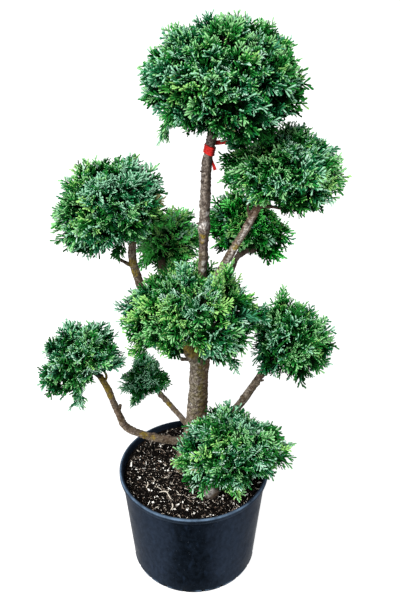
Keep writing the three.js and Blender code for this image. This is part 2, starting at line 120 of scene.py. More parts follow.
# Boughs: the points that each runs through, the stretch of that path it takes, its radius at each
# end, and how much its root swells.
LEFT_LOW_POINTS = (
    (0.003, 0.031, 0.300), (-0.036, 0.019, 0.306), (-0.102, 0.015, 0.324), (-0.146, 0.012, 0.351),
    (-0.163, 0.009, 0.398), (-0.179, 0.006, 0.455), (-0.193, 0.002, 0.493),
)
BOUGH_RING_STEP = 0.002
BOUGH_ROOT_SWELL = 0.3
BOUGH_ROOT_LENGTH = 0.07
BOUGHS = {
    "bough_left_low": (LEFT_LOW_POINTS, (0.0, 0.55), (0.0094, 0.0078), BOUGH_ROOT_SWELL),
    "bough_left_rise": (LEFT_LOW_POINTS, (0.55, 1.0), (0.0078, 0.0062), 0.0),
    "bough_small": (
        ((0.003, 0.032, 0.314), (-0.022, 0.060, 0.330), (-0.059, 0.096, 0.354), (-0.079, 0.109, 0.371)),
        (0.0, 1.0), (0.0064, 0.0056), 0.1,
    ),
    "bough_right_low": (
        ((0.006, 0.031, 0.306), (0.042, 0.037, 0.324), (0.096, 0.047, 0.378), (0.131, 0.050, 0.437),
         (0.167, 0.050, 0.504)),
        (0.0, 1.0), (0.0105, 0.0070), BOUGH_ROOT_SWELL,
    ),
    "bough_front_low": (
        ((0.002, 0.031, 0.256), (0.024, -0.012, 0.246), (0.041, -0.052, 0.245), (0.058, -0.066, 0.268),
         (0.072, -0.068, 0.300)),
        (0.0, 1.0), (0.0115, 0.0095), BOUGH_ROOT_SWELL,
    ),
    "bough_upper_left": (
        ((0.010, 0.030, 0.578), (-0.048, 0.036, 0.622), (-0.098, 0.042, 0.672), (-0.111, 0.046, 0.708),
         (-0.1185, 0.048, 0.745), (-0.115, 0.046, 0.801)),
        (0.0, 1.0), (0.0105, 0.0070), BOUGH_ROOT_SWELL,
    ),
    "bough_back_left": (
        ((0.013, 0.033, 0.626), (-0.025, 0.080, 0.640), (-0.060, 0.122, 0.656), (-0.067, 0.154, 0.684)),
        (0.0, 1.0), (0.0095, 0.0076), BOUGH_ROOT_SWELL,
    ),
    "bough_upper_right": (
        ((0.014, 0.030, 0.634), (0.0575, 0.030, 0.733), (0.102, 0.030, 0.819), (0.135, 0.030, 0.891)),
        (0.0, 1.0), (0.0090, 0.0066), BOUGH_ROOT_SWELL,
    ),
    "bough_back_right": (
        ((0.014, 0.032, 0.588), (0.043, 0.040, 0.650), (0.0781, 0.055, 0.7196), (0.0880, 0.072, 0.7345),
         (0.1080, 0.095, 0.7365), (0.1263, 0.120, 0.7255)),
        (0.0, 1.0), (0.0084, 0.0050), BOUGH_ROOT_SWELL,
    ),
}

# Foliage masses: the centre of each, how far it reaches to the side, to the front and back, up and
# down, the limb that carries it, where its stem leaves the limb (none: at the limb's tip), how much of
# it is dark, as old growth and painted shade, how fresh the rest is and how much painted light it takes,
# and its outline: how much of that reach it fills in sixteen directions round a plane that leans back,
# from the right and turning upwards.
Mass = namedtuple("Mass", "centre reach carrier stem growth outline")

MASSES = {
    "foliage_top": Mass(
        (0.051, 0.030, 1.094), (0.146, 0.136, 0.127, 0.096), "trunk", None, (0.06, -0.08, 0.0),
        (1.03, 1.05, 0.98, 0.89, 0.89, 0.92, 0.92, 0.95, 1, 0.89, 0.92, 0.83, 0.94, 1.03, 1.13, 0.98),
    ),
    "foliage_upper_right": Mass(
        (0.164, 0.026, 0.936), (0.112, 0.104, 0.083, 0.075), "bough_upper_right", None, (0.07, -0.04, 0.02),
        (1.03, 0.98, 1, 1.02, 0.98, 0.9, 0.88, 0.91, 0.92, 0.95, 0.82, 0.8, 0.95, 1.06, 1.18, 1.16),
    ),
    "foliage_upper_left": Mass(
        (-0.159, 0.038, 0.857), (0.113, 0.106, 0.098, 0.088), "bough_upper_left", None, (0.06, -0.18, 0.08),
        (0.95, 1.01, 1.08, 1.02, 1.01, 0.96, 0.9, 0.84, 0.93, 1.1, 1.13, 1, 0.82, 0.82, 0.84, 0.93),
    ),
    "foliage_back_left": Mass(
        (-0.055, 0.190, 0.721), (0.064, 0.062, 0.070, 0.064), "bough_back_left", None, (0.24, 0.25, 0.50),
        (1.28, 1.26, 1.2, 1.08, 0.96, 0.98, 1, 1.06, 1.2, 1.36, 1.46, 1.4, 1.2, 1.2, 1.32, 1.38),
    ),
    "foliage_back_right": Mass(
        (0.119, 0.162, 0.757), (0.084, 0.082, 0.079, 0.070), "bough_back_right", None, (0.16, 0.2, 0.0),
        (0.98, 0.7, 0.75, 0.95, 1, 1.05, 1.22, 1.2, 1.2, 1.12, 0.92, 0.7, 0.74, 1.12, 1.21, 1.1),
    ),
    "foliage_centre": Mass(
        (-0.009, 0.008, 0.640), (0.144, 0.132, 0.088, 0.080), "trunk",
        ((0.012, 0.030, 0.606), (-0.018, -0.040, 0.626)), (0.23, 0.12, 0.13),
        (1.04, 1, 1.06, 1.07, 1.05, 1.04, 1.02, 0.93, 1.04, 1.02, 0.88, 0.85, 0.68, 0.9, 1.26, 1.06),
    ),
    "foliage_left_low": Mass(
        (-0.228, 0.000, 0.528), (0.093, 0.090, 0.086, 0.076), "bough_left_rise", None, (0.12, -0.50, 0.0),
        (1.02, 0.91, 1.06, 1.02, 1.01, 0.95, 0.85, 0.92, 0.83, 1.02, 1.18, 1, 0.66, 0.52, 0.36, 0.4),
    ),
    "foliage_small": Mass(
        (-0.110, 0.121, 0.402), (0.061, 0.058, 0.062, 0.056), "bough_small", None, (0.20, -0.8, 0.03),
        (1.03, 0.9, 0.76, 0.96, 1.14, 0.88, 0.72, 0.66, 0.8, 0.88, 0.8, 0.9, 0.8, 0.64, 0.86, 1.02),
    ),
    "foliage_right_low": Mass(
        (0.206, 0.050, 0.554), (0.089, 0.086, 0.096, 0.086), "bough_right_low", None, (0.18, -0.22, 0.02),
        (0.95, 0.87, 0.92, 0.88, 0.87, 0.9, 1.08, 1, 0.95, 1.02, 1.06, 0.98, 1.08, 1.13, 1.06, 1.02),
    ),
    "foliage_front_low": Mass(
        (0.086, -0.068, 0.354), (0.127, 0.106, 0.095, 0.084), "bough_front_low", None, (0.35, -0.22, 0.08),
        (0.97, 0.95, 0.75, 0.77, 0.95, 1, 0.91, 0.95, 1, 1.08, 1.16, 0.9, 0.86, 0.79, 0.67, 0.87),
    ),
}
OUTLINE_LEAN = math.radians(VIEW_TILT)
OUTLINE_FACE = 0.95

# Twigs: how many grow on a mass and on a branch, and how far in they end.
STEM_SHARE = 0.85
SURFACE_POWER = 1.6
TWIGS_PER_AREA = 1160.0
BROAD_MASS = 0.115
SMALL_FILL = 0.35
TWIGS_PER_BRANCH = 5
FEWEST_BRANCHES = 6
TWIG_JITTER = 0.16
JITTER_FADE = 14
BRANCH_SHARE = 0.66
TWIG_DEPTH = 0.032
BRANCH_TIP_RADIUS = 0.0022
TWIG_RADII = (0.0019, 0.0009)

# Lobes: the twigs of one branch stand out together.
LOBE_DEPTH = 0.011
LOBE_RISE = (-0.045, 0.025)
LOBE_PULL = 0.75

# Sprays: rosettes at the twigs' ends, deep ones in the shade inside, and loose shoots.
SPRAYS_PER_TWIG = 6
SPRAY_REACH = 1.040
SPRAY_PROUD = 0.011
TUFT_DEPTH = 0.012
SPRAY_SPREAD = 0.040
SPRAY_RISE = 0.25
SPRAY_ROLL = 0.35
LONGEST_SPRAY = 0.047
LIMB_MARGIN = 0.004
INNER_SPRAYS = 0.34
INNER_BAND = (0.15, 0.62)
INNER_LENGTH = 0.056
INNER_LIMIT = 0.82
INNER_LIGHT = -0.35
SHOOT_SHARE = 0.6
SHOOT_FAN = 0.28
SHOOT_SPRAY = 0.034
SPRAYS_IN_PIECE = 1250

# Forms of spray: fingers on a rib, how many of them fork, and the plain coarse forms for the inside.
SPRAY_FORMS = 8
FINGERS = 7
FORKED = 3
FINGER_WIDTH = 0.055
INNER_FORMS = 3
INNER_FINGERS = 3
INNER_WIDTH = 2.2 * FINGER_WIDTH
FINGER_ROOT = 0.55
FINGER_SHOULDER = 0.88
FINGER_CORNERS = 7
FINGER_FACES = 10

# Kind of a spray: blue below a score, fresh above another, dark more often underneath as painted
# shade, and a few grey and dry. Most sprays take the kind of their twig.
TEAL_BELOW = -0.22
FRESH_ABOVE = 0.70
DARK_UNDERNEATH = 0.45
GREY_ABOVE = 0.92
DRY_ABOVE = 0.996
TWIG_KIND_SHARE = 0.6

# Light on a spray: less in a valley between lobes and underneath, more on top. A face takes its kind's
# middle colour above the first step, and its tip colour above the second.
OPEN_LIGHT = 0.06
VALLEY_SHADE = 0.12
TOP_LIGHT = 0.10
UNDER_SHADE = 0.12
LIGHT_SPREAD = 0.10
TONE_STEPS = (0.42, 0.84)

# Red tie: a band of tape round the trunk under the top mass.
TIE_BAND = (0.968, 0.984)
TIE_THICKNESS = 0.0016
TIE_SLOPE = 0.40
TIE_TURN = 0.0042
TIE_GAP = 0.0008
TIE_ROWS = 46
TIE_SIDES = 72
STRIP_ROWS = 40
STRIP_SIDES = 14
STRIP_HALF_THICKNESS = 0.0006

# Its loose end and its strap: the line of each, its half width at both ends, and the way across it.
TIE_STRIPS = (
    (((0.0310, 0.0405, 0.966), (0.0350, 0.0385, 0.9545), (0.0385, 0.0330, 0.9450),
      (0.0415, 0.0300, 0.9361)), (0.0014, 0.0034), (1.0, 0.4, 0.2)),
    (((0.030, 0.0405, 0.978), (0.036, 0.0405, 0.984), (0.0446, 0.0340, 0.9872),
      (0.0572, 0.0300, 0.9905), (0.091, 0.0280, 0.9980)), (0.0044, 0.0040), (0.0, 0.5, 1.0)),
)


def paint(red, green, blue):
    """A linear colour from display values of 0 to 255."""
    shown = np.array((red, green, blue)) / 255.0
    linear = np.where(shown <= 0.04045, shown / 12.92, ((shown + 0.055) / 1.055) ** 2.4)
    return tuple(float(value) for value in linear)


# Numbers and fields

def lattice_value(cell, seed):
    """A repeatable number from 0 to 1 for each whole-number cell: its three indices, each times a large
    prime, are mixed bitwise with the seed and scrambled twice."""
    mixed = (cell[..., 0] * 73856093) ^ (cell[..., 1] * 19349663) ^ (cell[..., 2] * 83492791)
    mixed = (mixed ^ (seed * 40503 + 977)) & 0x7FFFFFFF
    mixed = ((mixed >> 13) ^ mixed) * 1274126177 & 0x7FFFFFFF
    mixed = ((mixed >> 16) ^ mixed) * 668265263 & 0x7FFFFFFF
    return (mixed & 0xFFFFFF) / float(0x1000000)


def noise(points, size, seed):
    """Smooth noise from -1 to 1: random values at the corners of cubes of the given size, blended
    across each cube with an S-shaped weight along each axis."""
    scaled = points / size
    cell = np.floor(scaled).astype(np.int64)
    share = scaled - cell
    weight = share * share * (3 - 2 * share)
    total = np.zeros(points.shape[:-1])
    for corner in np.ndindex(2, 2, 2):
        step = np.array(corner)
        part = np.prod(np.where(step == 1, weight, 1 - weight), axis=-1)
        total += part * lattice_value(cell + step, seed)
    return 2 * total - 1


def cell_distances(points, size, seed):
    """Distances, in units of size, from each point to the nearest and second nearest of scattered seed
    points, one in each cube of the given size; also a random number for the nearest seed."""
    scaled = points / size
    cell = np.floor(scaled).astype(np.int64)
    first = np.full(points.shape[:-1], 9.0)
    second = np.full(points.shape[:-1], 9.0)
    owner = np.zeros(points.shape[:-1])
    for offset in np.ndindex(3, 3, 3):
        near = cell + np.array(offset) - 1
        spot = near + np.stack([lattice_value(near, seed + k) for k in range(3)], axis=-1)
        distance = np.linalg.norm(scaled - spot, axis=-1)
        closer = distance < first
        second = np.where(closer, first, np.minimum(second, distance))
        owner = np.where(closer, lattice_value(near, seed + 7), owner)
        first = np.minimum(first, distance)
    return first, second, owner


def smoothstep(values, low, high):
    """An S-shaped ramp from 0 at low to 1 at high."""
    share = np.clip((values - low) / (high - low), 0, 1)
    return share * share * (3 - 2 * share)


def bell(values, middle, width):
    """A bell curve that is 1 at the middle."""
    return np.exp(-((values - middle) / width) ** 2)


def unit(vectors):
    """Vectors scaled to length one."""
    return vectors / np.maximum(np.linalg.norm(vectors, axis=-1, keepdims=True), 1e-12)


# Meshes

def new_piece(name, vertices, faces, materials, node_names, tones=None, smooth=True, fields=None):
    """A mesh object from whole arrays, riding on the plant's one body and standing for CAD nodes."""
    groups = faces if isinstance(faces, list) else [faces]
    corners = np.concatenate([group.ravel() for group in groups]).astype(np.int32)
    sizes = np.concatenate([np.full(len(group), group.shape[1]) for group in groups])
    starts = np.concatenate([[0], np.cumsum(sizes)[:-1]]).astype(np.int32)
    mesh = bpy.data.meshes.new(name)
    mesh.vertices.add(len(vertices))
    mesh.vertices.foreach_set("co", np.ascontiguousarray(vertices, np.float32).ravel())
    mesh.loops.add(len(corners))
    mesh.loops.foreach_set("vertex_index", corners)
    mesh.polygons.add(len(sizes))
    mesh.polygons.foreach_set("loop_start", starts)
    mesh.polygons.foreach_set("use_smooth", np.full(len(sizes), smooth))
    for material in materials:
        mesh.materials.append(material)
    if tones is not None:
        mesh.polygons.foreach_set("material_index", np.asarray(tones, np.int32))
    for key, values in (fields or {}).items():
        layer = mesh.attributes.new(key, "FLOAT", "POINT")
        layer.data.foreach_set("value", np.ascontiguousarray(values, np.float32).ravel())
    mesh.update(calc_edges=True)
    piece = bpy.data.objects.new(name, mesh)
    bpy.context.scene.collection.objects.link(piece)
    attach(piece, "root")
    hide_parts(*node_names)


def grid_faces(rows, columns):
    """Quads of a grid of rows by columns, the last column joined to the first."""
    row, column = np.meshgrid(np.arange(rows - 1), np.arange(columns), indexing="ij")
    after = (column + 1) % columns
    quads = [row * columns + column, row * columns + after, (row + 1) * columns + after,
             (row + 1) * columns + column]
    return np.stack(quads, axis=-1).reshape(-1, 4)


def capped(rings):
    """Closed tube from rings of points: quads between rings and a fan to the middle of each end."""
    count, sides = rings.shape[:2]
    vertices = np.concatenate([rings.reshape(-1, 3), rings[:1].mean(1), rings[-1:].mean(1)])
    around = np.arange(sides)
    after = (around + 1) % sides
    foot = np.stack([after, around, np.full(sides, count * sides)], axis=-1)
    last = (count - 1) * sides
    head = np.stack([last + around, last + after, np.full(sides, count * sides + 1)], axis=-1)
    return vertices, [grid_faces(count, sides), np.concatenate([foot, head])]


def joined(parts):
    """Several (vertices, face groups) as one: indices move up, and groups join by their width."""
    vertices = np.concatenate([part[0] for part in parts])
    offset = 0
    by_width = {}
    for part, groups in parts:
        for group in groups:
            by_width.setdefault(group.shape[1], []).append(group + offset)
        offset += len(part)
    return vertices, [np.concatenate(groups) for _, groups in sorted(by_width.items())]


# Materials

def shader_of(name, color, roughness):
    """A Principled material with a plain colour, and its shader node."""
    material = bpy.data.materials.new(name)
    material.use_nodes = True
    shader = material.node_tree.nodes["Principled BSDF"]
    shader.inputs["Base Color"].default_value = (*color, 1.0)
    shader.inputs["Roughness"].default_value = roughness
    return material, shader


def add_node(tree, kind, sockets, **settings):
    """A node with its settings, and each socket set to a value or linked to another node's output."""
    made = tree.nodes.new(kind)
    for key, value in settings.items():
        setattr(made, key, value)
    for key, value in sockets.items():
        if isinstance(value, bpy.types.NodeSocket):
            tree.links.new(value, made.inputs[key])
        else:
            made.inputs[key].default_value = value
    return made


def noise_factor(tree, scale, detail, low, high, stretch=(1.0, 1.0, 1.0)):
    """Noise over object coordinates, spread so that low and high become 0 and 1."""
    place = add_node(tree, "ShaderNodeTexCoord", {})
    turned = add_node(tree, "ShaderNodeMapping", {"Vector": place.outputs["Object"], "Scale": stretch})
    field = add_node(tree, "ShaderNodeTexNoise", {
        "Vector": turned.outputs["Vector"], "Scale": scale, "Detail": detail, "Roughness": 0.6,
    })
    return add_node(tree, "ShaderNodeMapRange", {
        "Value": field.outputs["Fac"], "From Min": low, "From Max": high,
    }).outputs["Result"]


def mixed(tree, factor, first, second):
    """The colour between two colours by a factor."""
    blend = add_node(tree, "ShaderNodeMix", {0: factor}, data_type="RGBA")
    for index, value in ((6, first), (7, second)):
        if isinstance(value, bpy.types.NodeSocket):
            tree.links.new(value, blend.inputs[index])
        else:
            blend.inputs[index].default_value = (*value, 1.0)
    return blend.outputs[2]


def field_of(tree, name):
    """A mesh's own field of values."""
    return add_node(tree, "ShaderNodeAttribute", {}, attribute_name=name).outputs["Fac"]


def scaled(tree, value, by):
    """A value times a number or another value."""
    return add_node(tree, "ShaderNodeMath", {0: value, 1: by}, operation="MULTIPLY").outputs[0]


def bark_material():
    """Bark: brown scales, red-brown on the shaded side and darker with age, olive moss, pale flakes and
    scars, ochre lichen and dark creases. Painted shade darkens the bark under the centre mass, up the
    middle of the low trunk, in its creases, on each limb's right side and over boughs in shade, and its
    pale streaks are painted light."""
    material, shader = shader_of("bark", paint(96, 86, 70), 0.9)
    tree = material.node_tree
    color = mixed(tree, noise_factor(tree, 90, 3, 0.36, 0.64), paint(76, 64, 55), paint(126, 114, 104))
    color = mixed(tree, field_of(tree, "warm"), color, paint(92, 60, 46))
    # The old field: darker with age high up, and painted shade under the centre mass and up the middle of
    # the low trunk.
    color = mixed(tree, field_of(tree, "old"), color, paint(62, 50, 44))
    color = mixed(tree, field_of(tree, "flake"), color, paint(160, 150, 138))
    grain = scaled(tree, noise_factor(tree, 420, 3, 0.54, 0.70), 0.6)
    color = mixed(tree, grain, color, paint(182, 174, 167))
    moss = scaled(tree, noise_factor(tree, 75, 4, 0.34, 0.60), field_of(tree, "mossy"))
    color = mixed(tree, moss, color, paint(92, 84, 30))
    # The pale field: pale scars, and ragged pale streaks that are painted light.
    color = mixed(tree, field_of(tree, "pale"), color, paint(206, 202, 198))
    color = mixed(tree, field_of(tree, "lichen"), color, paint(136, 116, 38))
    # The crease field: dark creases with painted shade in them, painted shade on each limb's right side and
    # over boughs in shade, and darker thin snags.
    color = mixed(tree, field_of(tree, "crease"), color, paint(22, 16, 13))
    tree.links.new(color, shader.inputs["Base Color"])
    shader.inputs["Specular IOR Level"].default_value = 0.15
    return material


def pot_material():
    """Black-blue plastic with a thin mottled film of dust, laid on as painted sheen that is lighter on both
    sides than in front, a few scuffs, painted highlight lines along the rim, a light line along the foot
    seam and painted shade in the drain notches."""
    material, shader = shader_of("pot_plastic", paint(5, 8, 12), 0.34)
    tree = material.node_tree
    cloud = noise_factor(tree, 110, 6, 0.34, 0.72, (1, 1, 0.7))
    color = mixed(tree, cloud, paint(3, 6, 11), paint(13, 20, 29))
    # Painted sheen: the mottled dust film is lighter on both sides of the pot than in front and behind.
    dust_and_sheen = add_node(tree, "ShaderNodeMapRange", {"Value": cloud, "To Min": 0.55, "To Max": 1.0})
    dust_and_sheen = scaled(tree, dust_and_sheen.outputs["Result"], field_of(tree, "painted_sheen"))
    color = mixed(tree, dust_and_sheen, color, paint(35, 44, 58))
    streak = scaled(tree, noise_factor(tree, 90, 5, 0.56, 0.80, (1, 1, 0.3)), 0.3)
    color = mixed(tree, streak, color, paint(38, 52, 74))
    fleck = scaled(tree, noise_factor(tree, 330, 2, 0.70, 0.78), 0.35)
    color = mixed(tree, fleck, color, paint(112, 122, 136))
    color = mixed(tree, field_of(tree, "soiled"), color, paint(34, 40, 48))
    # Painted highlight lines along the rim's crest and the lip's step, and a light line along the foot
    # seam, broken up by noise; they lie in the field named worn.
    rim_highlights_and_foot_line = scaled(tree, noise_factor(tree, 26, 4, 0.28, 0.62), field_of(tree, "worn"))
    color = mixed(tree, rim_highlights_and_foot_line, color, paint(104, 128, 154))
    # Painted shade in and around the drain notches.
    color = mixed(tree, field_of(tree, "painted_notch_shade"), color, paint(1, 2, 3))
    tree.links.new(color, shader.inputs["Base Color"])
    rough = add_node(tree, "ShaderNodeMapRange", {
        "Value": noise_factor(tree, 30, 4, 0.35, 0.7), "To Min": 0.26, "To Max": 0.42,
    })
    tree.links.new(rough.outputs["Result"], shader.inputs["Roughness"])
    shader.inputs["Specular IOR Level"].default_value = 0.006
    shader.inputs["Specular Tint"].default_value = (0.52, 0.78, 1.0, 1.0)
    return material


def soil_material():
    """Moist black-brown compost with lighter specks."""
    material, shader = shader_of("compost", paint(40, 32, 27), 0.95)
    shader.inputs["Specular IOR Level"].default_value = 0.04
    tree = material.node_tree
    color = mixed(tree, noise_factor(tree, 90, 4, 0.4, 0.66), paint(4, 3, 3), paint(22, 18, 16))
    specks = noise_factor(tree, 420, 2, 0.64, 0.72)
    color = mixed(tree, scaled(tree, specks, 0.7), color, paint(112, 104, 96))
    tree.links.new(color, shader.inputs["Base Color"])
    return material


def tie_material():
    """Shiny red tape, with painted shade in the folds between its turns, on the side of the band away
    from the light and in bands along its loose end and strap.
    """
    material, shader = shader_of("tie_plastic", paint(214, 30, 28), 0.5)
    shader.inputs["Specular IOR Level"].default_value = 0.3
    tree = material.node_tree
    worn = noise_factor(tree, 220, 3, 0.4, 0.7)
    color = mixed(tree, worn, paint(236, 38, 28), paint(200, 22, 22))
    # Painted shade in the tape's folds, on its side away from the light and along its loose end and strap.
    color = mixed(tree, field_of(tree, "painted_tape_shade"), color, paint(80, 6, 10))
    tree.links.new(color, shader.inputs["Base Color"])
    return material


# Limbs

def smooth_path(points, stretch, count):
    """Evenly spaced points on a centripetal Catmull-Rom curve through the given points: between two
    points it is a cubic whose end slopes come from the neighbours, timed by the root of the distance.
    With a stretch, the part of it between two shares of its length."""
    through = np.array(points, float)
    ends = np.concatenate([2 * through[:1] - through[1:2], through, 2 * through[-1:] - through[-2:-1]])
    step = np.sqrt(np.linalg.norm(np.diff(ends, axis=0), axis=1))[:, None]
    share = np.linspace(0, 1, 200)[:, None]
    spans = []
    for i in range(1, len(ends) - 2):
        before, here, there, beyond = ends[i - 1:i + 3]
        lead, span, trail = step[i - 1], step[i], step[i + 1]
        out = (here - before) / lead - (there - before) / (lead + span) + (there - here) / span
        into = (there - here) / span - (beyond - here) / (span + trail) + (beyond - there) / trail
        out, into = out * span, into * span
        spans.append(
            (2 * share ** 3 - 3 * share ** 2 + 1) * here + (share ** 3 - 2 * share ** 2 + share) * out
            + (3 * share ** 2 - 2 * share ** 3) * there + (share ** 3 - share ** 2) * into
        )
    dense = np.concatenate(spans)
    length = np.concatenate([[0], np.cumsum(np.linalg.norm(np.diff(dense, axis=0), axis=1))])
    wanted = np.linspace(stretch[0], stretch[1], count) * length[-1]
    return np.stack([np.interp(wanted, length, dense[:, k]) for k in range(3)], axis=-1)


def trunk_radius(height):
    """Radius of the trunk at a height: a smooth thinning, the foot's flare, the old knot, the whorl of
    boughs under the centre mass, and a waist halfway up to it and under the tie."""
    thinned = smoothstep(height, *TRUNK_THINS)
    taper = TRUNK_LOW_RADIUS + (TRUNK_HIGH_RADIUS - TRUNK_LOW_RADIUS) * thinned
    flare = FLARE * np.exp(-np.maximum(height - SOIL_LEVEL, 0) / FLARE_HEIGHT)
    knot = KNOT_SWELL * bell(height, KNOT_LEVEL, KNOT_HEIGHT)
    whorl = WHORL_SWELL * bell(height, WHORL_LEVEL, WHORL_HEIGHT)
    waist = TIE_WAIST_DEPTH * bell(height, np.mean(TIE_BAND), TIE_WAIST_HEIGHT)
    waist = waist + WAIST_DEPTH * bell(height, WAIST_LEVEL, WAIST_HEIGHT)
    return taper + flare + knot + whorl - waist


def bough_radius(radii, swell, share):
    """Radius of a bough at a share of its length: an even taper with a swollen root."""
    return (radii[0] + (radii[1] - radii[0]) * share) * (1 + swell * np.exp(-share / BOUGH_ROOT_LENGTH))


def limb_frames(path, across):
    """Directions along a path and two directions square to it, the first as near to across as it can be."""
    along = unit(np.gradient(path, axis=0))
    first = unit(across - (along @ across)[:, None] * along)
    return along, first, np.cross(along, first)


def limb_surface(path, radii, sides, across, relief):
    """Rings square to a path. Around each, the radius is the limb's own plus the relief, a function of
    the distance along the limb and the place round it."""
    _, first, second = limb_frames(path, across)
    turn = np.linspace(0, 2 * np.pi, sides, endpoint=False)
    length = np.concatenate([[0], np.cumsum(np.linalg.norm(np.diff(path, axis=0), axis=1))])
    place = np.stack(np.broadcast_arrays(
        radii[:, None] * np.cos(turn), radii[:, None] * np.sin(turn), length[:, None],
    ), axis=-1)
    height, fields = relief(place, turn)
    reach = (radii[:, None] + height)[..., None]
    spoke = np.cos(turn)[None, :, None] * first[:, None] + np.sin(turn)[None, :, None] * second[:, None]
    return path[:, None] + reach * spoke, fields


def bark_relief(scale, depth, knobs, seed):
    """Bark as a function of place on a limb: scales parted by creases that follow the borders between
    scattered cells, wider round the limb than along it, over slow lumps, with a few round knobs."""
    draw = np.random.default_rng(seed)

    def relief(place, turn):
        """The height of the bark over the limb, and where its creases and flakes lie."""
        shifted = place + draw.uniform(0.5, 2.0, 3)
        bent = shifted + 0.45 * scale * np.stack(
            [noise(shifted, scale * 1.3, seed + k) for k in range(3)], axis=-1,
        )
        near, next_near, owner = cell_distances(bent * np.array((1, 1, 1.9)), scale, seed)
        border = np.clip((next_near - near) / 0.38, 0, 1)
        plates = depth * (0.85 * np.sqrt(border) + 0.9 * owner - 1.0)
        lumps = 0.9 * depth * noise(shifted, scale * 3.0, seed + 11)
        grain = 0.35 * depth * noise(shifted, scale * 0.4, seed + 17)
        height = plates + lumps + grain
        # Dark creases: the bark's own darker fissures, with painted shade in them.
        crease = np.clip(1 - border * 1.5, 0, 1) * (0.55 + 0.45 * (1 - owner))
        flake = smoothstep(owner + 0.25 * noise(shifted, scale * 0.5, seed + 23), 0.58, 0.82) * border
        if knobs:
            level = draw.uniform(place[0, 0, 2], place[-1, 0, 2], knobs)
            radius = np.linalg.norm(place[..., :2], axis=-1).mean()
            angle = draw.uniform(0, 2 * np.pi, knobs)
            size = draw.uniform(0.0024, 0.0046, knobs)
            rise = draw.uniform(0.0008, 0.0022, knobs)
            gap = np.angle(np.exp(1j * (turn[:, None] - angle))) * radius
            along = place[:, :1, 2] - level
            bumps = rise * np.exp(-(gap[None] ** 2 + along[:, None] ** 2) / size ** 2)
            height = height + bumps.sum(-1)
        return height, {"crease": crease, "flake": flake}

    return relief


def blob_field(points, blobs):
    """How strongly soft round blobs cover each point, from 0 to 1: each blob is (centre, radius)."""
    field = np.zeros(len(points))
    for centre, radius in blobs:
        away = np.linalg.norm(points - np.array(centre), axis=-1) / radius
        field = np.maximum(field, np.exp(-away ** 2))
    ragged = 0.5 + 0.3 * noise(points, 0.006, 91) + 0.4 * noise(points, 0.0026, 92)
    return smoothstep(field * (0.3 + 1.3 * ragged), 0.34, 0.72)


# Short snags of cut or broken twigs: the limb, the path from inside the limb, the radius at each end.
SNAGS = (
    ("bough_front_low", ((0.043, -0.046, 0.246), (0.040, -0.058, 0.242), (0.038, -0.067, 0.240),
                         (0.039, -0.074, 0.239), (0.041, -0.080, 0.238)), (0.0135, 0.0165)),
    ("bough_left_rise", ((-0.164, 0.009, 0.392), (-0.158, 0.008, 0.404), (-0.155, 0.007, 0.416)),
     (0.0046, 0.0030)),
    ("bough_left_rise", ((-0.186, 0.004, 0.474), (-0.180, 0.003, 0.492), (-0.183, 0.002, 0.503),
                         (-0.189, 0.001, 0.511)), (0.0030, 0.0018)),
    ("bough_right_low", ((0.139, 0.050, 0.448), (0.146, 0.048, 0.4485), (0.151, 0.046, 0.451)),
     (0.0036, 0.0022)),
    ("bough_upper_left", ((-0.112, 0.047, 0.728), (-0.126, 0.045, 0.733), (-0.143, 0.044, 0.744),
                          (-0.161, 0.043, 0.757)), (0.0044, 0.0026)),
    ("bough_upper_right", ((0.106, 0.030, 0.846), (0.122, 0.025, 0.864), (0.145, 0.022, 0.867),
                           (0.164, 0.021, 0.864), (0.184, 0.020, 0.859)), (0.0044, 0.0022)),
    ("bough_upper_right", ((0.110, 0.030, 0.842), (0.104, 0.026, 0.857), (0.103, 0.024, 0.876),
                           (0.099, 0.023, 0.893)), (0.0028, 0.0015)),
    ("trunk", ((0.012, 0.028, 0.536), (-0.022, 0.010, 0.549), (-0.044, 0.006, 0.555),
               (-0.068, 0.004, 0.560)), (0.0056, 0.0032)),
    ("trunk", ((0.008, 0.026, 0.506), (-0.009, 0.010, 0.552), (-0.018, -0.006, 0.586)), (0.0130, 0.0100)),
    ("trunk", ((0.016, 0.026, 0.540), (0.034, 0.004, 0.566), (0.046, -0.010, 0.590)), (0.0060, 0.0044)),
    ("trunk", ((0.004, 0.024, 0.520), (-0.012, 0.016, 0.526), (-0.0265, 0.013, 0.5285)), (0.0028, 0.0038)),
    ("trunk", ((0.026, 0.026, 0.934), (0.014, 0.020, 0.938)), (0.0024, 0.0016)),
    ("trunk", ((0.024, 0.026, 0.830), (0.007, 0.021, 0.833)), (0.0026, 0.0016)),
)


def limb_table():
    """Each limb's path and radius along it, at the spacing of the finished bark."""
    table = {}
    path = smooth_path(TRUNK_POINTS, (0.0, 1.0), TRUNK_RINGS)
    table["trunk"] = (path, trunk_radius(path[:, 2]))
    for name, (points, stretch, radii, swell) in BOUGHS.items():
        length = np.linalg.norm(np.diff(np.array(points), axis=0), axis=1).sum() * (stretch[1] - stretch[0])
        count = int(length / BOUGH_RING_STEP)
        radius = bough_radius(radii, swell, np.linspace(0, 1, count))
        path = smooth_path(points, stretch, count)
        table[name] = (path, radius)
    return table


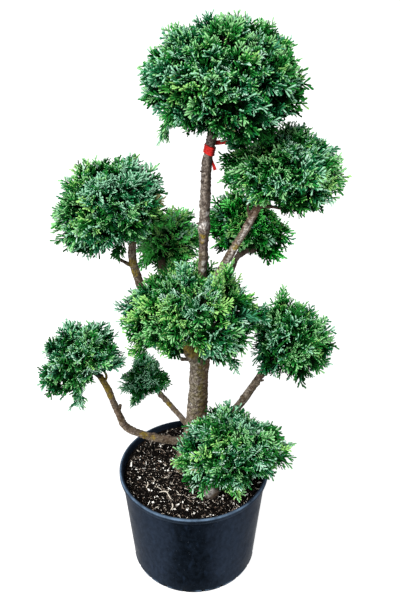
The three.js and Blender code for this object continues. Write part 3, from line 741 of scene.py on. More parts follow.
# Where lichen and pale scars show: (centre, radius).
LICHEN = (
    ((-0.106, 0.004, 0.334), 0.013), ((-0.088, 0.004, 0.327), 0.010), ((0.082, 0.022, 0.782), 0.008),
    ((0.058, 0.034, 0.690), 0.008), ((0.018, 0.020, 0.806), 0.007), ((0.016, 0.020, 0.792), 0.007),
    ((-0.012, -0.005, 0.566), 0.020), ((0.000, 0.000, 0.556), 0.018), ((-0.002, 0.005, 0.546), 0.014),
    ((-0.176, -0.002, 0.444), 0.010), ((-0.190, -0.006, 0.488), 0.024), ((-0.182, -0.004, 0.462), 0.014),
    ((-0.118, 0.038, 0.738), 0.012), ((-0.056, 0.086, 0.354), 0.008), ((-0.116, 0.040, 0.716), 0.010),
)
PALE = (
    ((0.022, 0.020, 0.829), 0.010), ((0.012, 0.022, 0.826), 0.008), ((0.030, 0.021, 0.832), 0.006),
    ((0.021, 0.021, 0.748), 0.007), ((0.020, 0.021, 0.732), 0.006), ((0.028, 0.020, 0.852), 0.006),
    ((0.030, -0.082, 0.250), 0.016), ((0.040, -0.080, 0.254), 0.012), ((-0.008, 0.014, 0.410), 0.006),
)

# How strong the painted light of a limb's pale streak is and where across it, and how dark a limb in shade
# is.
PAINTED_LIGHT_STREAKS = {"bough_upper_right": (0.55, -0.1), "trunk": (0.1, -0.6)}
SHADED = {"bough_small": 0.3, "bough_back_left": 0.5, "bough_back_right": 0.66}

# Heights between which the bark changes: into its low and its high kind, into pale streaks of painted
# light on the trunk's foot, the trunk and the boughs, into red-brown boughs, and into damp bark on the
# trunk; also the middle and width of the band of painted shade at the whorl.
LOW_BARK = (0.66, 0.50)
HIGH_BARK = (0.62, 0.96)
LIGHT_STREAK_FOOT = (0.34, 0.41)
LIGHT_STREAK_TRUNK = (0.78, 0.84)
LIGHT_STREAK_BOUGHS = (0.86, 0.82)
REDDENED_BOUGHS = (0.81, 0.86)
DAMP_TRUNK = (0.82, 0.76)
SHADED_WHORL = (0.556, 0.030)

# Bark relief: sides of a ring, size of a scale and depth of a crease.
TRUNK_BARK = (84, 0.0076, 0.0016)
BOUGH_BARK = (44, 0.0060, 0.0011)
SNAG_BARK = (22, 0.005, 0.0006)
BURL_DEPTH = 0.0016
BURL_RADIUS = 0.010
DARK_SNAG_RADIUS = 0.004
TRUNK_KNOBS = 60
RINGS_PER_KNOB = 7
SNAG_RINGS = 26


def snags_on(name):
    """The snags on a limb, each an even taper with a rounded end: its rings and the marks of its bark.
    Thick ones are rougher, and thin ones are darker."""
    sides, scale, depth = SNAG_BARK
    share = np.linspace(0, 1, SNAG_RINGS)
    rounded = np.sqrt(np.clip((1.04 - share) / 0.12, 0, 1))
    surfaces = []
    for order, (carrier, points, ends) in enumerate(SNAGS):
        if carrier != name:
            continue
        path = smooth_path(points, (0.0, 1.0), SNAG_RINGS)
        radii = (ends[0] + (ends[1] - ends[0]) * share) * rounded
        side = unit(np.cross(path[-1] - path[0], (0.3, 1, 0.2)))
        rough = depth if ends[1] < BURL_RADIUS else BURL_DEPTH
        rings, marks = limb_surface(path, radii, sides, side,
                                    bark_relief(scale, rough, 0, SEED + 500 + order))
        if ends[1] < DARK_SNAG_RADIUS:
            marks["crease"] = np.maximum(marks["crease"], 0.55)
        surfaces.append((rings, marks))
    return surfaces


def bark_fields(name, vertices, path, radii, crease, flake):
    """Where the colours of the bark lie on a limb, each from 0 to 1. They follow the height, the place
    across the limb from -1 on its left to 1 on its right, and slow noise: painted shade darkens the right
    side, boughs in shade, the whorl and a band up the middle of the low trunk, which is also mossy; the
    low trunk's right is warm, flakes thin out to the right and on the low trunk away from its left side as
    painted light, and ragged pale streaks are painted light."""
    trunk = name == "trunk"
    height = vertices[:, 2]
    rising = bool(np.all(np.diff(path[:, 2]) > 0))
    aside = (vertices[:, 0] - np.interp(height, path[:, 2], path[:, 0])) * rising
    around = aside / np.interp(height, path[:, 2], radii)
    low = smoothstep(height, *LOW_BARK)
    high = smoothstep(height, *HIGH_BARK)
    # Painted shade on each limb's right side, away from the light, weaker on the low trunk and on the
    # boughs.
    turned = smoothstep(around, -0.15, 0.5) * (1.0 - 0.74 * low if trunk else 0.5)
    # Painted shade over the whole of a bough in shade.
    crease = np.maximum(crease, SHADED.get(name, 0.0))
    ragged = noise(vertices * np.array((1.0, 1.0, 0.4)), 0.004, 64)
    # A ragged pale streak of painted light along a limb, at its place across the limb.
    strength, place = PAINTED_LIGHT_STREAKS.get(name, (0.0, 0.0))
    streak = strength * smoothstep(0.3 * ragged - np.abs(around - place), -0.75, -0.3)
    if trunk:
        foot = 1.5 * low * smoothstep(height, *LIGHT_STREAK_FOOT)
        streak = streak * np.maximum(smoothstep(height, *LIGHT_STREAK_TRUNK), foot)
        warm = (0.15 + 0.7 * smoothstep(aside, 0.002, 0.014)) * (0.35 + 0.65 * low)
        # Painted shade under the centre mass at the whorl, and in a band up the middle of the low trunk.
        painted_shade = 0.75 * bell(height, *SHADED_WHORL) + 0.6 * low * bell(aside, 0.001, 0.010)
        damp = np.maximum(0.06 + 0.94 * low, 0.4 * smoothstep(height, *DAMP_TRUNK))
        mossy = (0.36 + 0.50 * bell(aside, -0.002, 0.012)) * damp
    else:
        streak = streak * smoothstep(height, *LIGHT_STREAK_BOUGHS)
        warm = 0.25 + 0.25 * noise(vertices, 0.03, 62) + 0.6 * smoothstep(height, *REDDENED_BOUGHS)
        painted_shade = 0.0
        mossy = np.full(len(vertices), 0.26)
    # Flakes thin out high up, and on the low trunk away from its left side as painted light.
    worn = 0.9 - 0.4 * high - 0.4 * low * smoothstep(around, -0.75, -0.1)
    return {
        "crease": np.maximum(crease, (0.8 + 0.3 * noise(vertices, 0.006, 63)) * 0.9 * turned),
        "flake": flake * (1 - 0.6 * turned) * worn,
        "lichen": 0.85 * blob_field(vertices, LICHEN),
        "pale": np.maximum(0.85 * blob_field(vertices, PALE), streak * (1 - 0.8 * crease)),
        "warm": warm,
        "old": high * (0.14 + 0.28 * noise(vertices, 0.012, 61)) + painted_shade,
        "mossy": mossy,
    }


def build_limbs(table, material):
    """Bark over every limb, with its snags joined on, and fields that tell the bark's colour where each
    flake, crease, scar and patch of lichen lies and where painted light and shade fall."""
    for index, (name, (path, radii)) in enumerate(table.items()):
        trunk = name == "trunk"
        sides, scale, depth = TRUNK_BARK if trunk else BOUGH_BARK
        across = np.array((1.0, 0.0, 0.0)) if trunk else unit(np.cross(path[-1] - path[0], (0, 0, 1)))
        knobs = TRUNK_KNOBS if trunk else len(path) // RINGS_PER_KNOB
        relief = bark_relief(scale, depth, knobs, SEED + 31 * index)
        surfaces = [limb_surface(path, radii, sides, across, relief)] + snags_on(name)
        vertices, faces = joined([capped(rings) for rings, _ in surfaces])
        crease, flake = [
            np.concatenate([np.append(marks[key], (0.0, 0.0)) for _, marks in surfaces])
            for key in ("crease", "flake")
        ]
        fields = bark_fields(name, vertices, path, radii, crease, flake)
        new_piece(f"{name}_bark", vertices, faces, [material], [name], fields=fields)


# Foliage

# The twigs of a mass: its branches' tips, each twig's branch, direction and tip, the middle, rise and
# width of its lobe, and the mass's mean reach. Sprays: where each starts and ends, its kind and light.
Twigs = namedtuple("Twigs", "branch_tip branch way tip lobe_way lobe_rise lobe_width broad")
Sprays = namedtuple("Sprays", "roots tips kinds light")


def outline_share(outline, offset):
    """How much of its reach a mass fills in a direction: its outline there, eased from one of its
    sixteen shares to the next, and drawn towards one share in front of and behind the outline's plane."""
    lean_sin, lean_cos = math.sin(OUTLINE_LEAN), math.cos(OUTLINE_LEAN)
    up = offset[..., 1] * lean_sin + offset[..., 2] * lean_cos
    away = (offset[..., 1] * lean_cos - offset[..., 2] * lean_sin) / np.maximum(
        np.linalg.norm(offset, axis=-1), 1e-9)
    table = np.array(outline)
    turn = (np.arctan2(up, offset[..., 0]) / (2 * np.pi) + 1) * len(table)
    here = np.floor(turn).astype(int)
    ease = smoothstep(turn - here, 0, 1)
    edge = table[here % len(table)] * (1 - ease) + table[(here + 1) % len(table)] * ease
    return edge + (OUTLINE_FACE - edge) * away ** 2


def depth_in(mass, points):
    """How far out points lie in a mass: 0 at its centre and 1 at its outline."""
    offset = points - np.array(mass.centre)
    side, front, above, below = mass.reach
    x, y, z = np.moveaxis(offset, -1, 0)
    depth = np.sqrt((x / side) ** 2 + (y / front) ** 2 + (z / np.where(z > 0, above, below)) ** 2)
    return depth / outline_share(mass.outline, offset)


def point_in(mass, directions, shares):
    """Points at shares of a mass's outline in the given directions."""
    length = shares / depth_in(mass, np.array(mass.centre) + directions)
    return np.array(mass.centre) + directions * length[:, None]


def spread_directions(count, draw):
    """Directions spread evenly over a ball by the golden angle, each a little astray."""
    order = np.arange(count)
    height = 1 - 2 * (order + 0.5) / count
    width = np.sqrt(1 - height ** 2)
    turn = order * math.pi * (3 - math.sqrt(5))
    astray = TWIG_JITTER * draw.uniform(-1, 1, (count, 3)) * min(1.0, JITTER_FADE / math.sqrt(count))
    return unit(np.stack([width * np.cos(turn), width * np.sin(turn), height], axis=-1) + astray)


def spray_form(fingers, forked, width, draw):
    """One spray of unit length in its own frame: slim fingers leave a rib by turns to both sides like a
    comb, leaning forward and growing shorter towards the tip, and the lower ones fork once. Every finger
    is a closed three-sided rod with its ridge up: a narrow ring of three corners at its root, a wider
    one near its end, and a tip. Returns corners, faces and how far out each face is, which sets its
    painted light: it grows along the spray and away from its rib, for young growth and as painted light,
    the ridge's one side counts as further out than the other as a painted highlight, and the flat back
    and the root's end count as further in as painted shade."""
    share = np.linspace(0.06, 0.78, fingers) + draw.uniform(-0.03, 0.03, fingers)
    side = np.where(np.arange(fingers) % 2 == 0, 1.0, -1.0)
    lean = np.radians(46) * (1 - 0.35 * share) + draw.uniform(-0.14, 0.14, fingers)
    size = (0.28 + 0.26 * (1 - share)) * draw.uniform(0.85, 1.15, fingers)
    lift = draw.uniform(-0.35, 0.45, fingers)
    root = np.stack([share, np.zeros(fingers), np.zeros(fingers)], axis=-1)
    aim = unit(np.stack([np.cos(lean), side * np.sin(lean), lift * np.sin(lean)], axis=-1))
    fork = root[:forked] + aim[:forked] * (size[:forked] * draw.uniform(0.3, 0.5, forked))[:, None]
    turned = unit(aim[:forked] + np.stack([np.full(forked, 0.7), 0.1 * side[:forked],
                                           draw.uniform(-0.3, 0.3, forked)], axis=-1))
    fork_tip = fork + turned * (size[:forked] * draw.uniform(0.55, 0.8, forked))[:, None]
    ends = np.array([(0.0, 0.0, 0.0), (0.60, 0.0, 0.0)])
    end_tips = np.array([(0.78, 0.0, 0.0), (1.0, 0.06 * draw.uniform(-1, 1), 0.0)])
    roots = np.concatenate([root, fork, ends])
    tips = np.concatenate([root + aim * size[:, None], fork_tip, end_tips])
    half = width * draw.uniform(0.85, 1.15, len(roots))
    aim = unit(tips - roots)
    wide = unit(np.cross([0.0, 0.0, 1.0], aim)) * half[:, None]
    thick = np.cross(aim, unit(wide)) * half[:, None]
    shoulder = roots + (tips - roots) * FINGER_SHOULDER
    ring = [0.8 * wide - 0.3 * thick, 0.7 * thick, -0.8 * wide - 0.3 * thick]
    foot_ring = [roots + FINGER_ROOT * spoke for spoke in ring]
    corners = np.stack(foot_ring + [shoulder + spoke for spoke in ring] + [tips], axis=1)
    shell = np.array([[0, 1, 4], [0, 4, 3], [6, 3, 4], [1, 2, 5], [1, 5, 4], [6, 4, 5],
                      [2, 0, 3], [2, 3, 5], [6, 5, 3], [0, 2, 1]])
    faces = (shell[None] + FINGER_CORNERS * np.arange(len(roots))[:, None, None]).reshape(-1, 3)
    # Painted light on each finger: lighter further along the spray and away from its rib, one side of the
    # ridge lighter than the other, the flat back and the root's end darker.
    way = np.array((0.30, 0.60, 0.95))
    place = roots[:, None] + (tips - roots)[:, None] * way[None, :, None]
    out = place[..., 0] + 0.6 * np.abs(place[..., 1])
    out = (out[:, None] + np.array((0.08, -0.08, -0.30))[None, :, None]).reshape(len(roots), 9)
    out = np.concatenate([out, out[:, :1] - 0.4], axis=1)
    return corners.reshape(-1, 3), faces, out.ravel()


# Foliage tones, lit and shaded copies of each kind of spray: a painted shade colour, a middle colour and
# a tip colour, lighter both for young tips and as painted light.
TONES = {
    "dark": ((0, 25, 3), (5, 55, 13), (28, 100, 38)),
    "teal": ((0, 32, 10), (26, 104, 60), (138, 190, 158)),
    "green": ((0, 34, 3), (31, 116, 44), (132, 190, 128)),
    "fresh": ((2, 42, 6), (48, 132, 48), (146, 200, 114)),
    "grey": ((3, 40, 20), (58, 126, 92), (172, 206, 186)),
    "dry": ((2, 34, 6), (34, 104, 44), (132, 134, 92)),
    "lush": ((0, 40, 4), (12, 134, 34), (112, 232, 116)),
}
KINDS = tuple(TONES)

# How much of a mass is deep green growth out of the open light.
LUSH = {"foliage_back_left": 0.5, "foliage_back_right": 0.4}


def foliage_materials():
    """Plain matt colours, three for each kind of spray, in the order of KINDS: its painted shade, middle
    and tip colour, the tip colour lighter both for young tips and as painted light.
    """
    made = []
    for kind, tones in TONES.items():
        for part, tone in zip(("shade", "middle", "tip"), tones):
            material, shader = shader_of(f"foliage_{kind}_{part}", paint(*tone), 0.7)
            shader.inputs["Specular IOR Level"].default_value = 0.05
            made.append(material)
    return made


def prisms(starts, ends, start_radii, end_radii, sides):
    """Closed tapering prisms between pairs of points: a ring round each end, walls, and a point on the
    axis at each end."""
    along = unit(ends - starts)
    spare = np.where(np.abs(along[:, 2:]) < 0.9, [[0.0, 0.0, 1.0]], [[1.0, 0.0, 0.0]])
    first = unit(np.cross(along, spare))
    second = np.cross(along, first)
    turn = np.linspace(0, 2 * np.pi, sides, endpoint=False)
    spoke = (np.cos(turn)[None, :, None] * first[:, None] + np.sin(turn)[None, :, None] * second[:, None])
    low = starts[:, None] + spoke * start_radii[:, None, None]
    high = ends[:, None] + spoke * end_radii[:, None, None]
    vertices = np.concatenate([low, high, starts[:, None], ends[:, None]], axis=1)
    here = np.arange(sides)
    after = (here + 1) % sides
    walls = np.stack([here, after, after + sides, here + sides], axis=-1)
    foot = np.stack([after, here, np.full(sides, 2 * sides)], axis=-1)
    head = np.stack([here + sides, after + sides, np.full(sides, 2 * sides + 1)], axis=-1)
    offset = (2 * sides + 2) * np.arange(len(starts))[:, None, None]
    quads = (walls[None] + offset).reshape(-1, 4)
    tris = (np.concatenate([foot, head])[None] + offset).reshape(-1, 3)
    return vertices.reshape(-1, 3), [tris, quads]


def clear_of(name, points, table):
    """Whether points keep off the limbs, the other masses and the pot."""
    clear = points[..., 2] > POT_HEIGHT + 0.002
    for start, end, radius in CLEARINGS:
        rod = np.array(end) - start
        share = np.clip((points - start) @ rod / (rod @ rod), 0, 1)[..., None]
        clear &= np.linalg.norm(points - start - share * rod, axis=-1) > radius
    for other, mass in MASSES.items():
        if other != name:
            clear &= depth_in(mass, points) > 0.95
    for path, radii in table.values():
        for spot, radius in zip(path[::8], radii[::8]):
            clear &= np.linalg.norm(points - spot, axis=-1) > radius + LIMB_MARGIN
    return clear


def pick_kinds(tips, directions, dark_share, fresh, draw):
    """The kind of each spray: patches of blue, green and fresh growth by slow noise, with dark old sprays,
    more of them underneath as painted shade, and a few grey and dry ones."""
    patch = 1.3 * noise(tips, 0.050, SEED + 3) + 0.7 * noise(tips, 0.022, SEED + 4)
    score = patch + draw.normal(0, 0.32, len(tips)) + 0.2 * directions[:, 2] + fresh
    kinds = np.where(score < TEAL_BELOW, KINDS.index("teal"), KINDS.index("green"))
    kinds = np.where(score > FRESH_ABOVE, KINDS.index("fresh"), kinds)
    chance = draw.uniform(0, 1, len(tips))
    under = np.clip(-directions[:, 2], 0, 1)
    # Dark sprays, more of them the more a spray points down, as painted shade underneath.
    kinds = np.where(chance < dark_share + DARK_UNDERNEATH * under, KINDS.index("dark"), kinds)
    kinds = np.where(chance > GREY_ABOVE, KINDS.index("grey"), kinds)
    return np.where(chance > DRY_ABOVE, KINDS.index("dry"), kinds)


def lay_sprays(sprays, deep, middle, forms, draw):
    """Sprays set between roots and tips: each form's corners are turned into the frame of its spray,
    its flat side away from the middle of the mass but for a random roll, scaled by its length and bowed
    by the square of the way out; deep ones take the plain forms at the end of the list. Returns corners,
    faces and each face's tone, three to a kind, from how far out it lies and how much light it gets."""
    roots, tips, kinds, light = sprays
    along = unit(tips - roots)
    length = np.linalg.norm(tips - roots, axis=-1)
    outwards = unit(roots - middle) + draw.normal(0, SPRAY_ROLL, (len(roots), 3))
    across = unit(np.cross(outwards, along))
    normal = np.cross(along, across)
    bow = draw.normal(0, 0.10, len(roots))
    breadth = draw.uniform(0.8, 1.15, len(roots))
    choice = np.where(deep, SPRAY_FORMS + draw.integers(0, INNER_FORMS, len(roots)),
                      draw.integers(0, SPRAY_FORMS, len(roots)))
    vertices, faces, tones = [], [], []
    offset = 0
    for index, (corners, ring, out) in enumerate(forms):
        mine = np.flatnonzero(choice == index)
        if not len(mine):
            continue
        x, y, z = corners.T
        rise = z[None] * breadth[mine, None] + bow[mine, None] * x[None] ** 2
        spot = (x[None, :, None] * along[mine, None] + (y[None] * breadth[mine, None])[..., None]
                * across[mine, None] + rise[..., None] * normal[mine, None])
        vertices.append((roots[mine, None] + spot * length[mine, None, None]).reshape(-1, 3))
        step = offset + len(corners) * np.arange(len(mine))
        faces.append((ring[None] + step[:, None, None]).reshape(-1, 3))
        offset += len(corners) * len(mine)
        uneven = draw.normal(0, LIGHT_SPREAD, (len(mine), len(out) // FINGER_FACES)).repeat(FINGER_FACES, 1)
        stage = out[None] + light[mine, None] + uneven
        level = (stage > TONE_STEPS[0]).astype(int) + (stage > TONE_STEPS[1])
        tones.append((3 * kinds[mine, None] + level).ravel())
    return np.concatenate(vertices), np.concatenate(faces), np.concatenate(tones)


# Places that stay open, in front of the crook of the lowest bough and of the trunk's lower whorl, and
# where the sky shows through: the two ends of a rod, and its radius.
CLEARINGS = (
    ((0.040, -0.080, 0.241), (0.039, -0.140, 0.298), 0.026),
    ((-0.006, -0.015, 0.562), (-0.006, -0.090, 0.613), 0.020),
    ((-0.2426, -0.080, 0.5163), (-0.2737, 0.080, 0.3964), 0.008),
    ((-0.2550, -0.080, 0.5333), (-0.2875, 0.080, 0.4156), 0.005),
    ((-0.2641, -0.080, 0.4965), (-0.2977, 0.080, 0.3743), 0.005),
)

# Loose shoots that stand out of a mass: the mass, the foot and the tip of each, its sprays and its
# growth, for which the kinds of spray and their light are given.
KIND_CHOICE = {
    "fresh": (("fresh", "fresh", "green"), 0.2),
    "young": (("fresh", "green", "green"), 0.02),
    "old": (("teal", "teal", "green"), 0.14),
    "dark": (("dark", "dark", "green"), 0.0),
}
SHOOTS = (
    ("foliage_top", (-0.036, 0.004, 1.056), (-0.053, -0.002, 1.004), 14, "old"),
    ("foliage_left_low", (-0.233, -0.016, 0.500), (-0.240, -0.020, 0.412), 14, "old"),
    ("foliage_left_low", (-0.190, -0.006, 0.525), (-0.155, -0.002, 0.531), 16, "old"),
    ("foliage_front_low", (0.064, -0.124, 0.336), (0.098, -0.134, 0.298), 14, "young"),
    ("foliage_front_low", (0.030, -0.130, 0.400), (0.018, -0.150, 0.416), 6, "fresh"),
    ("foliage_front_low", (-0.004, -0.120, 0.372), (-0.020, -0.140, 0.386), 6, "fresh"),
    ("foliage_right_low", (0.183, 0.050, 0.612), (0.177, 0.050, 0.667), 14, "young"),
    ("foliage_upper_right", (0.098, 0.020, 0.957), (0.066, 0.020, 0.954), 12, "dark"),
    ("foliage_upper_right", (0.094, 0.020, 0.984), (0.078, 0.020, 0.990), 6, "old"),
    ("foliage_upper_right", (0.096, 0.020, 0.926), (0.072, 0.020, 0.925), 10, "dark"),
    ("foliage_upper_right", (0.198, -0.030, 0.944), (0.220, -0.044, 0.950), 14, "young"),
    ("foliage_upper_right", (0.216, -0.018, 0.930), (0.240, -0.028, 0.932), 14, "fresh"),
    ("foliage_upper_right", (0.222, -0.010, 0.958), (0.246, -0.016, 0.964), 12, "young"),
    ("foliage_upper_left", (-0.132, 0.000, 0.812), (-0.143, 0.000, 0.778), 10, "dark"),
    ("foliage_small", (-0.118, 0.107, 0.392), (-0.148, 0.105, 0.389), 14, "old"),
    ("foliage_small", (-0.124, 0.107, 0.404), (-0.146, 0.105, 0.408), 8, "old"),
    ("foliage_small", (-0.112, 0.107, 0.384), (-0.134, 0.105, 0.354), 16, "old"),
    ("foliage_small", (-0.096, 0.107, 0.405), (-0.078, 0.105, 0.412), 10, "dark"),
    ("foliage_centre", (-0.080, -0.018, 0.592), (-0.118, -0.022, 0.562), 10, "fresh"),
    ("foliage_centre", (0.062, -0.028, 0.584), (0.088, -0.032, 0.538), 10, "old"),
    ("foliage_centre", (0.022, -0.016, 0.598), (0.024, -0.014, 0.550), 14, "dark"),
    ("foliage_centre", (0.040, -0.018, 0.590), (0.056, -0.016, 0.544), 10, "dark"),
    ("foliage_centre", (-0.010, -0.012, 0.712), (-0.015, -0.008, 0.752), 12, "old"),
    ("foliage_centre", (0.062, -0.006, 0.712), (0.068, -0.002, 0.748), 10, "fresh"),
    ("foliage_centre", (0.030, -0.024, 0.690), (0.034, -0.014, 0.728), 12, "old"),
    ("foliage_centre", (0.046, -0.020, 0.692), (0.052, -0.010, 0.730), 12, "fresh"),
    ("foliage_centre", (0.110, 0.000, 0.650), (0.140, 0.000, 0.642), 8, "old"),
    ("foliage_back_right", (0.092, 0.092, 0.748), (0.090, 0.072, 0.762), 6, "fresh"),
)


def surface_of(half):
    """About the surface of an ellipsoid: the power mean of the products of its half axes in pairs."""
    pairs = sum((half[i] * half[j]) ** SURFACE_POWER for i, j in ((0, 1), (0, 2), (1, 2)))
    return 4 * math.pi * (pairs / 3) ** (1 / SURFACE_POWER)


def grow_twigs(mass, draw):
    """The branches and twigs of a mass: both spread over it by the golden angle, the branches to about
    half its reach and the twigs to about three quarters. Each twig grows on the branch whose direction
    is nearest to its own, and the twigs of one branch lean together and rise together as a lobe."""
    side, front, above, below = mass.reach
    half = (side, front, 0.5 * (above + below))
    area = surface_of(half)
    broad = float(np.mean(half))
    twig_count = int(TWIGS_PER_AREA * area * (BROAD_MASS / broad) ** SMALL_FILL)
    branch_count = max(twig_count // TWIGS_PER_BRANCH, FEWEST_BRANCHES)
    twig_share = 1 - TWIG_DEPTH / broad
    branch_way = spread_directions(branch_count, draw)
    twig_way = spread_directions(twig_count, draw)
    branch_share = draw.uniform(0.9, 1.1, branch_count) * BRANCH_SHARE * twig_share
    branch_tip = point_in(mass, branch_way, branch_share)
    branch = np.argmax(twig_way @ branch_way.T, axis=1)
    lobe_way = branch_way[branch]
    lobe_rise = draw.uniform(*LOBE_RISE, branch_count)[branch]
    lobe_width = math.sqrt(area / (math.pi * branch_count))
    twig_tip = point_in(mass, unit(lobe_way + LOBE_PULL * (twig_way - lobe_way)),
                        draw.uniform(0.92, 1.05, twig_count) * twig_share + lobe_rise)
    return Twigs(branch_tip, branch, twig_way, twig_tip, lobe_way, lobe_rise, lobe_width, broad)


def outer_sprays(name, twigs, draw):
    """A rosette of flat sprays from the end of each twig out to the mass's reach: they fan out evenly
    round the twig and a little upwards. Their tips stand out by the rise of their lobe and fall off with
    the square of the way from its middle, and a spray that is too long is cut at both ends."""
    mass = MASSES[name]
    dark_share, fresh, bright = mass.growth
    broad = twigs.broad
    twig_count = len(twigs.tip)
    count = twig_count * SPRAYS_PER_TWIG
    owner = np.repeat(np.arange(twig_count), SPRAYS_PER_TWIG)
    turn = 2 * np.pi * (np.tile(np.arange(SPRAYS_PER_TWIG) / SPRAYS_PER_TWIG, twig_count)
                        + draw.uniform(0, 1, twig_count)[owner]) + draw.uniform(-0.3, 0.3, count)
    first = unit(np.cross(twigs.way, np.array((0.23, 0.31, 0.92))))
    second = np.cross(twigs.way, first)
    aside = np.cos(turn)[:, None] * first[owner] + np.sin(turn)[:, None] * second[owner]
    aside = aside + np.array((0.0, 0.0, SPRAY_RISE))
    spread = draw.uniform(0.2, 1.0, count) * min(SPRAY_SPREAD, 0.5 * broad)
    way = unit(twigs.way[owner] * broad + aside * spread[:, None])
    angle = np.arccos(np.clip((way * twigs.lobe_way[owner]).sum(-1), -1, 1))
    valley = np.minimum(angle * broad / twigs.lobe_width, 1.5) ** 2
    tuft_depth = min(TUFT_DEPTH, 0.15 * broad) / broad
    shares = SPRAY_REACH + (twigs.lobe_rise + draw.uniform(-0.8, 0.4, twig_count) * tuft_depth)[owner]
    shares = shares + draw.normal(0, 0.3, count) * tuft_depth - LOBE_DEPTH / broad * valley
    tips = point_in(mass, way, np.minimum(shares, 1.0 + SPRAY_PROUD / broad))
    roots = twigs.tip[owner] + 0.15 * aside * spread[:, None]
    length = np.linalg.norm(tips - roots, axis=-1)
    excess = np.maximum(length - LONGEST_SPRAY, 0)[:, None] * unit(tips - roots)
    roots, tips = roots + 0.6 * excess, tips - 0.4 * excess
    patch = pick_kinds(twigs.tip, twigs.way, dark_share, fresh, draw)[owner]
    kinds = np.where(draw.uniform(0, 1, count) < TWIG_KIND_SHARE, patch,
                     pick_kinds(tips, way, dark_share, fresh, draw))
    lush = (draw.uniform(0, 1, count) < LUSH.get(name, 0.0)) & (kinds != KINDS.index("dark"))
    kinds = np.where(lush, KINDS.index("lush"), kinds)
    up = way[:, 2]
    light = bright + OPEN_LIGHT - VALLEY_SHADE * valley + TOP_LIGHT * up - UNDER_SHADE * np.clip(-up, 0, 1)
    return Sprays(roots, tips, kinds, light + draw.normal(0, LIGHT_SPREAD, count))


def inner_sprays(mass, count, broad, draw):
    """Dark sprays in the shade inside a mass, spread over it by the golden angle and pointing outwards
    and astray; those that would reach near its outline are left out."""
    way = spread_directions(count, draw)
    roots = point_in(mass, way, draw.uniform(*INNER_BAND, count))
    aim = unit(0.4 * way + draw.normal(0, 0.7, (count, 3)))
    tips = roots + aim * np.minimum(INNER_LENGTH, 0.5 * broad)
    inside = depth_in(mass, tips) < INNER_LIMIT
    kinds = np.full(inside.sum(), KINDS.index("dark"))
    return Sprays(roots[inside], tips[inside], kinds, np.full(inside.sum(), INNER_LIGHT))


def shoot_sprays(name, draw):
    """The sprays of each loose shoot on a mass, set along the shoot and fanned out about its way."""
    made = []
    for place, foot, head, count, growth in SHOOTS:
        if place != name:
            continue
        shoot = np.array(head) - np.array(foot)
        roots = np.array(foot) + np.linspace(0.0, SHOOT_SHARE, count)[:, None] * shoot
        fan = unit(unit(shoot) + draw.normal(0, SHOOT_FAN, (count, 3)))
        tips = roots + fan * SHOOT_SPRAY * draw.uniform(0.8, 1.1, (count, 1))
        choice, light = KIND_CHOICE[growth]
        kinds = draw.choice([KINDS.index(kind) for kind in choice], count)
        made.append(Sprays(roots, tips, kinds, np.full(count, light)))
    return made


def build_twigs(name, twigs, table, material, draw):
    """The wood inside a mass, as tapering prisms: a stem on from its limb, branches that leave the
    stem's upper half, and twigs that leave the outer part of their branch."""
    mass = MASSES[name]
    path, radii = table[mass.carrier]
    foot, head = (path[-3], np.array(mass.centre)) if mass.stem is None else np.array(mass.stem)
    radius = STEM_SHARE * radii[-1]
    stem = prisms(foot[None], head[None], np.array([radius]), np.array([radius * 0.7]), 10)
    count = len(twigs.branch_tip)
    fork = foot + (head - foot) * draw.uniform(0.55, 1.0, count)[:, None]
    tip_radii = np.full(count, BRANCH_TIP_RADIUS)
    branches = prisms(fork, twigs.branch_tip, np.full(count, radius * 0.5), tip_radii, 6)
    along = draw.uniform(0.6, 1.0, len(twigs.tip))[:, None]
    twig_foot = fork[twigs.branch] + (twigs.branch_tip - fork)[twigs.branch] * along
    keep = clear_of(name, twigs.tip, table)
    twig_radii = [np.full(keep.sum(), end) for end in TWIG_RADII]
    rods = prisms(twig_foot[keep], twigs.tip[keep], *twig_radii, 5)
    vertices, faces = joined([stem, branches, rods])
    new_piece(f"{name}_twigs", vertices, faces, [material], [name], smooth=False)


def build_mass(name, table, forms, leaves, twig_material, draw):
    """One mass, grown on from its limb: a stem, branches and twigs, with rosettes of sprays at the
    twigs' ends, dark sprays inside and loose shoots. A spray that would touch a limb, another mass or
    the pot is left out."""
    mass = MASSES[name]
    twigs = grow_twigs(mass, draw)
    outer = outer_sprays(name, twigs, draw)
    inner = inner_sprays(mass, int(INNER_SPRAYS * len(outer.roots)), twigs.broad, draw)
    groups = [outer, inner] + shoot_sprays(name, draw)
    sprays = Sprays(*[np.concatenate(parts) for parts in zip(*groups)])
    deep = np.repeat([group is inner for group in groups], [len(group.roots) for group in groups])
    keep = np.ones(len(deep), bool)
    for share in (0.0, 0.35, 0.7, 1.0):
        keep &= clear_of(name, sprays.roots + share * (sprays.tips - sprays.roots), table)
    kept = np.flatnonzero(keep)
    for order, start in enumerate(range(0, len(kept), SPRAYS_IN_PIECE)):
        mine = kept[start:start + SPRAYS_IN_PIECE]
        part = Sprays(*[values[mine] for values in sprays])
        vertices, faces, tones = lay_sprays(part, deep[mine], np.array(mass.centre), forms, draw)
        new_piece(f"{name}_sprays_{order + 1}", vertices, faces, leaves, [name], tones=tones)
    build_twigs(name, twigs, table, twig_material, draw)


# Pot

def wall_radius(height):
    """Radius of the pot's outer wall at a height."""
    under_rim = POT_RIM_RADIUS - RIM_OVERHANG
    return POT_BASE_RADIUS + (under_rim - POT_BASE_RADIUS) * height / (POT_HEIGHT - RIM_DROP)


def arc(centre, radius, start, end, count):
    """Points on an arc in the plane of radius and height."""
    turn = np.linspace(start, end, count)
    return np.stack([centre[0] + radius * np.cos(turn), centre[1] + radius * np.sin(turn)], axis=-1)


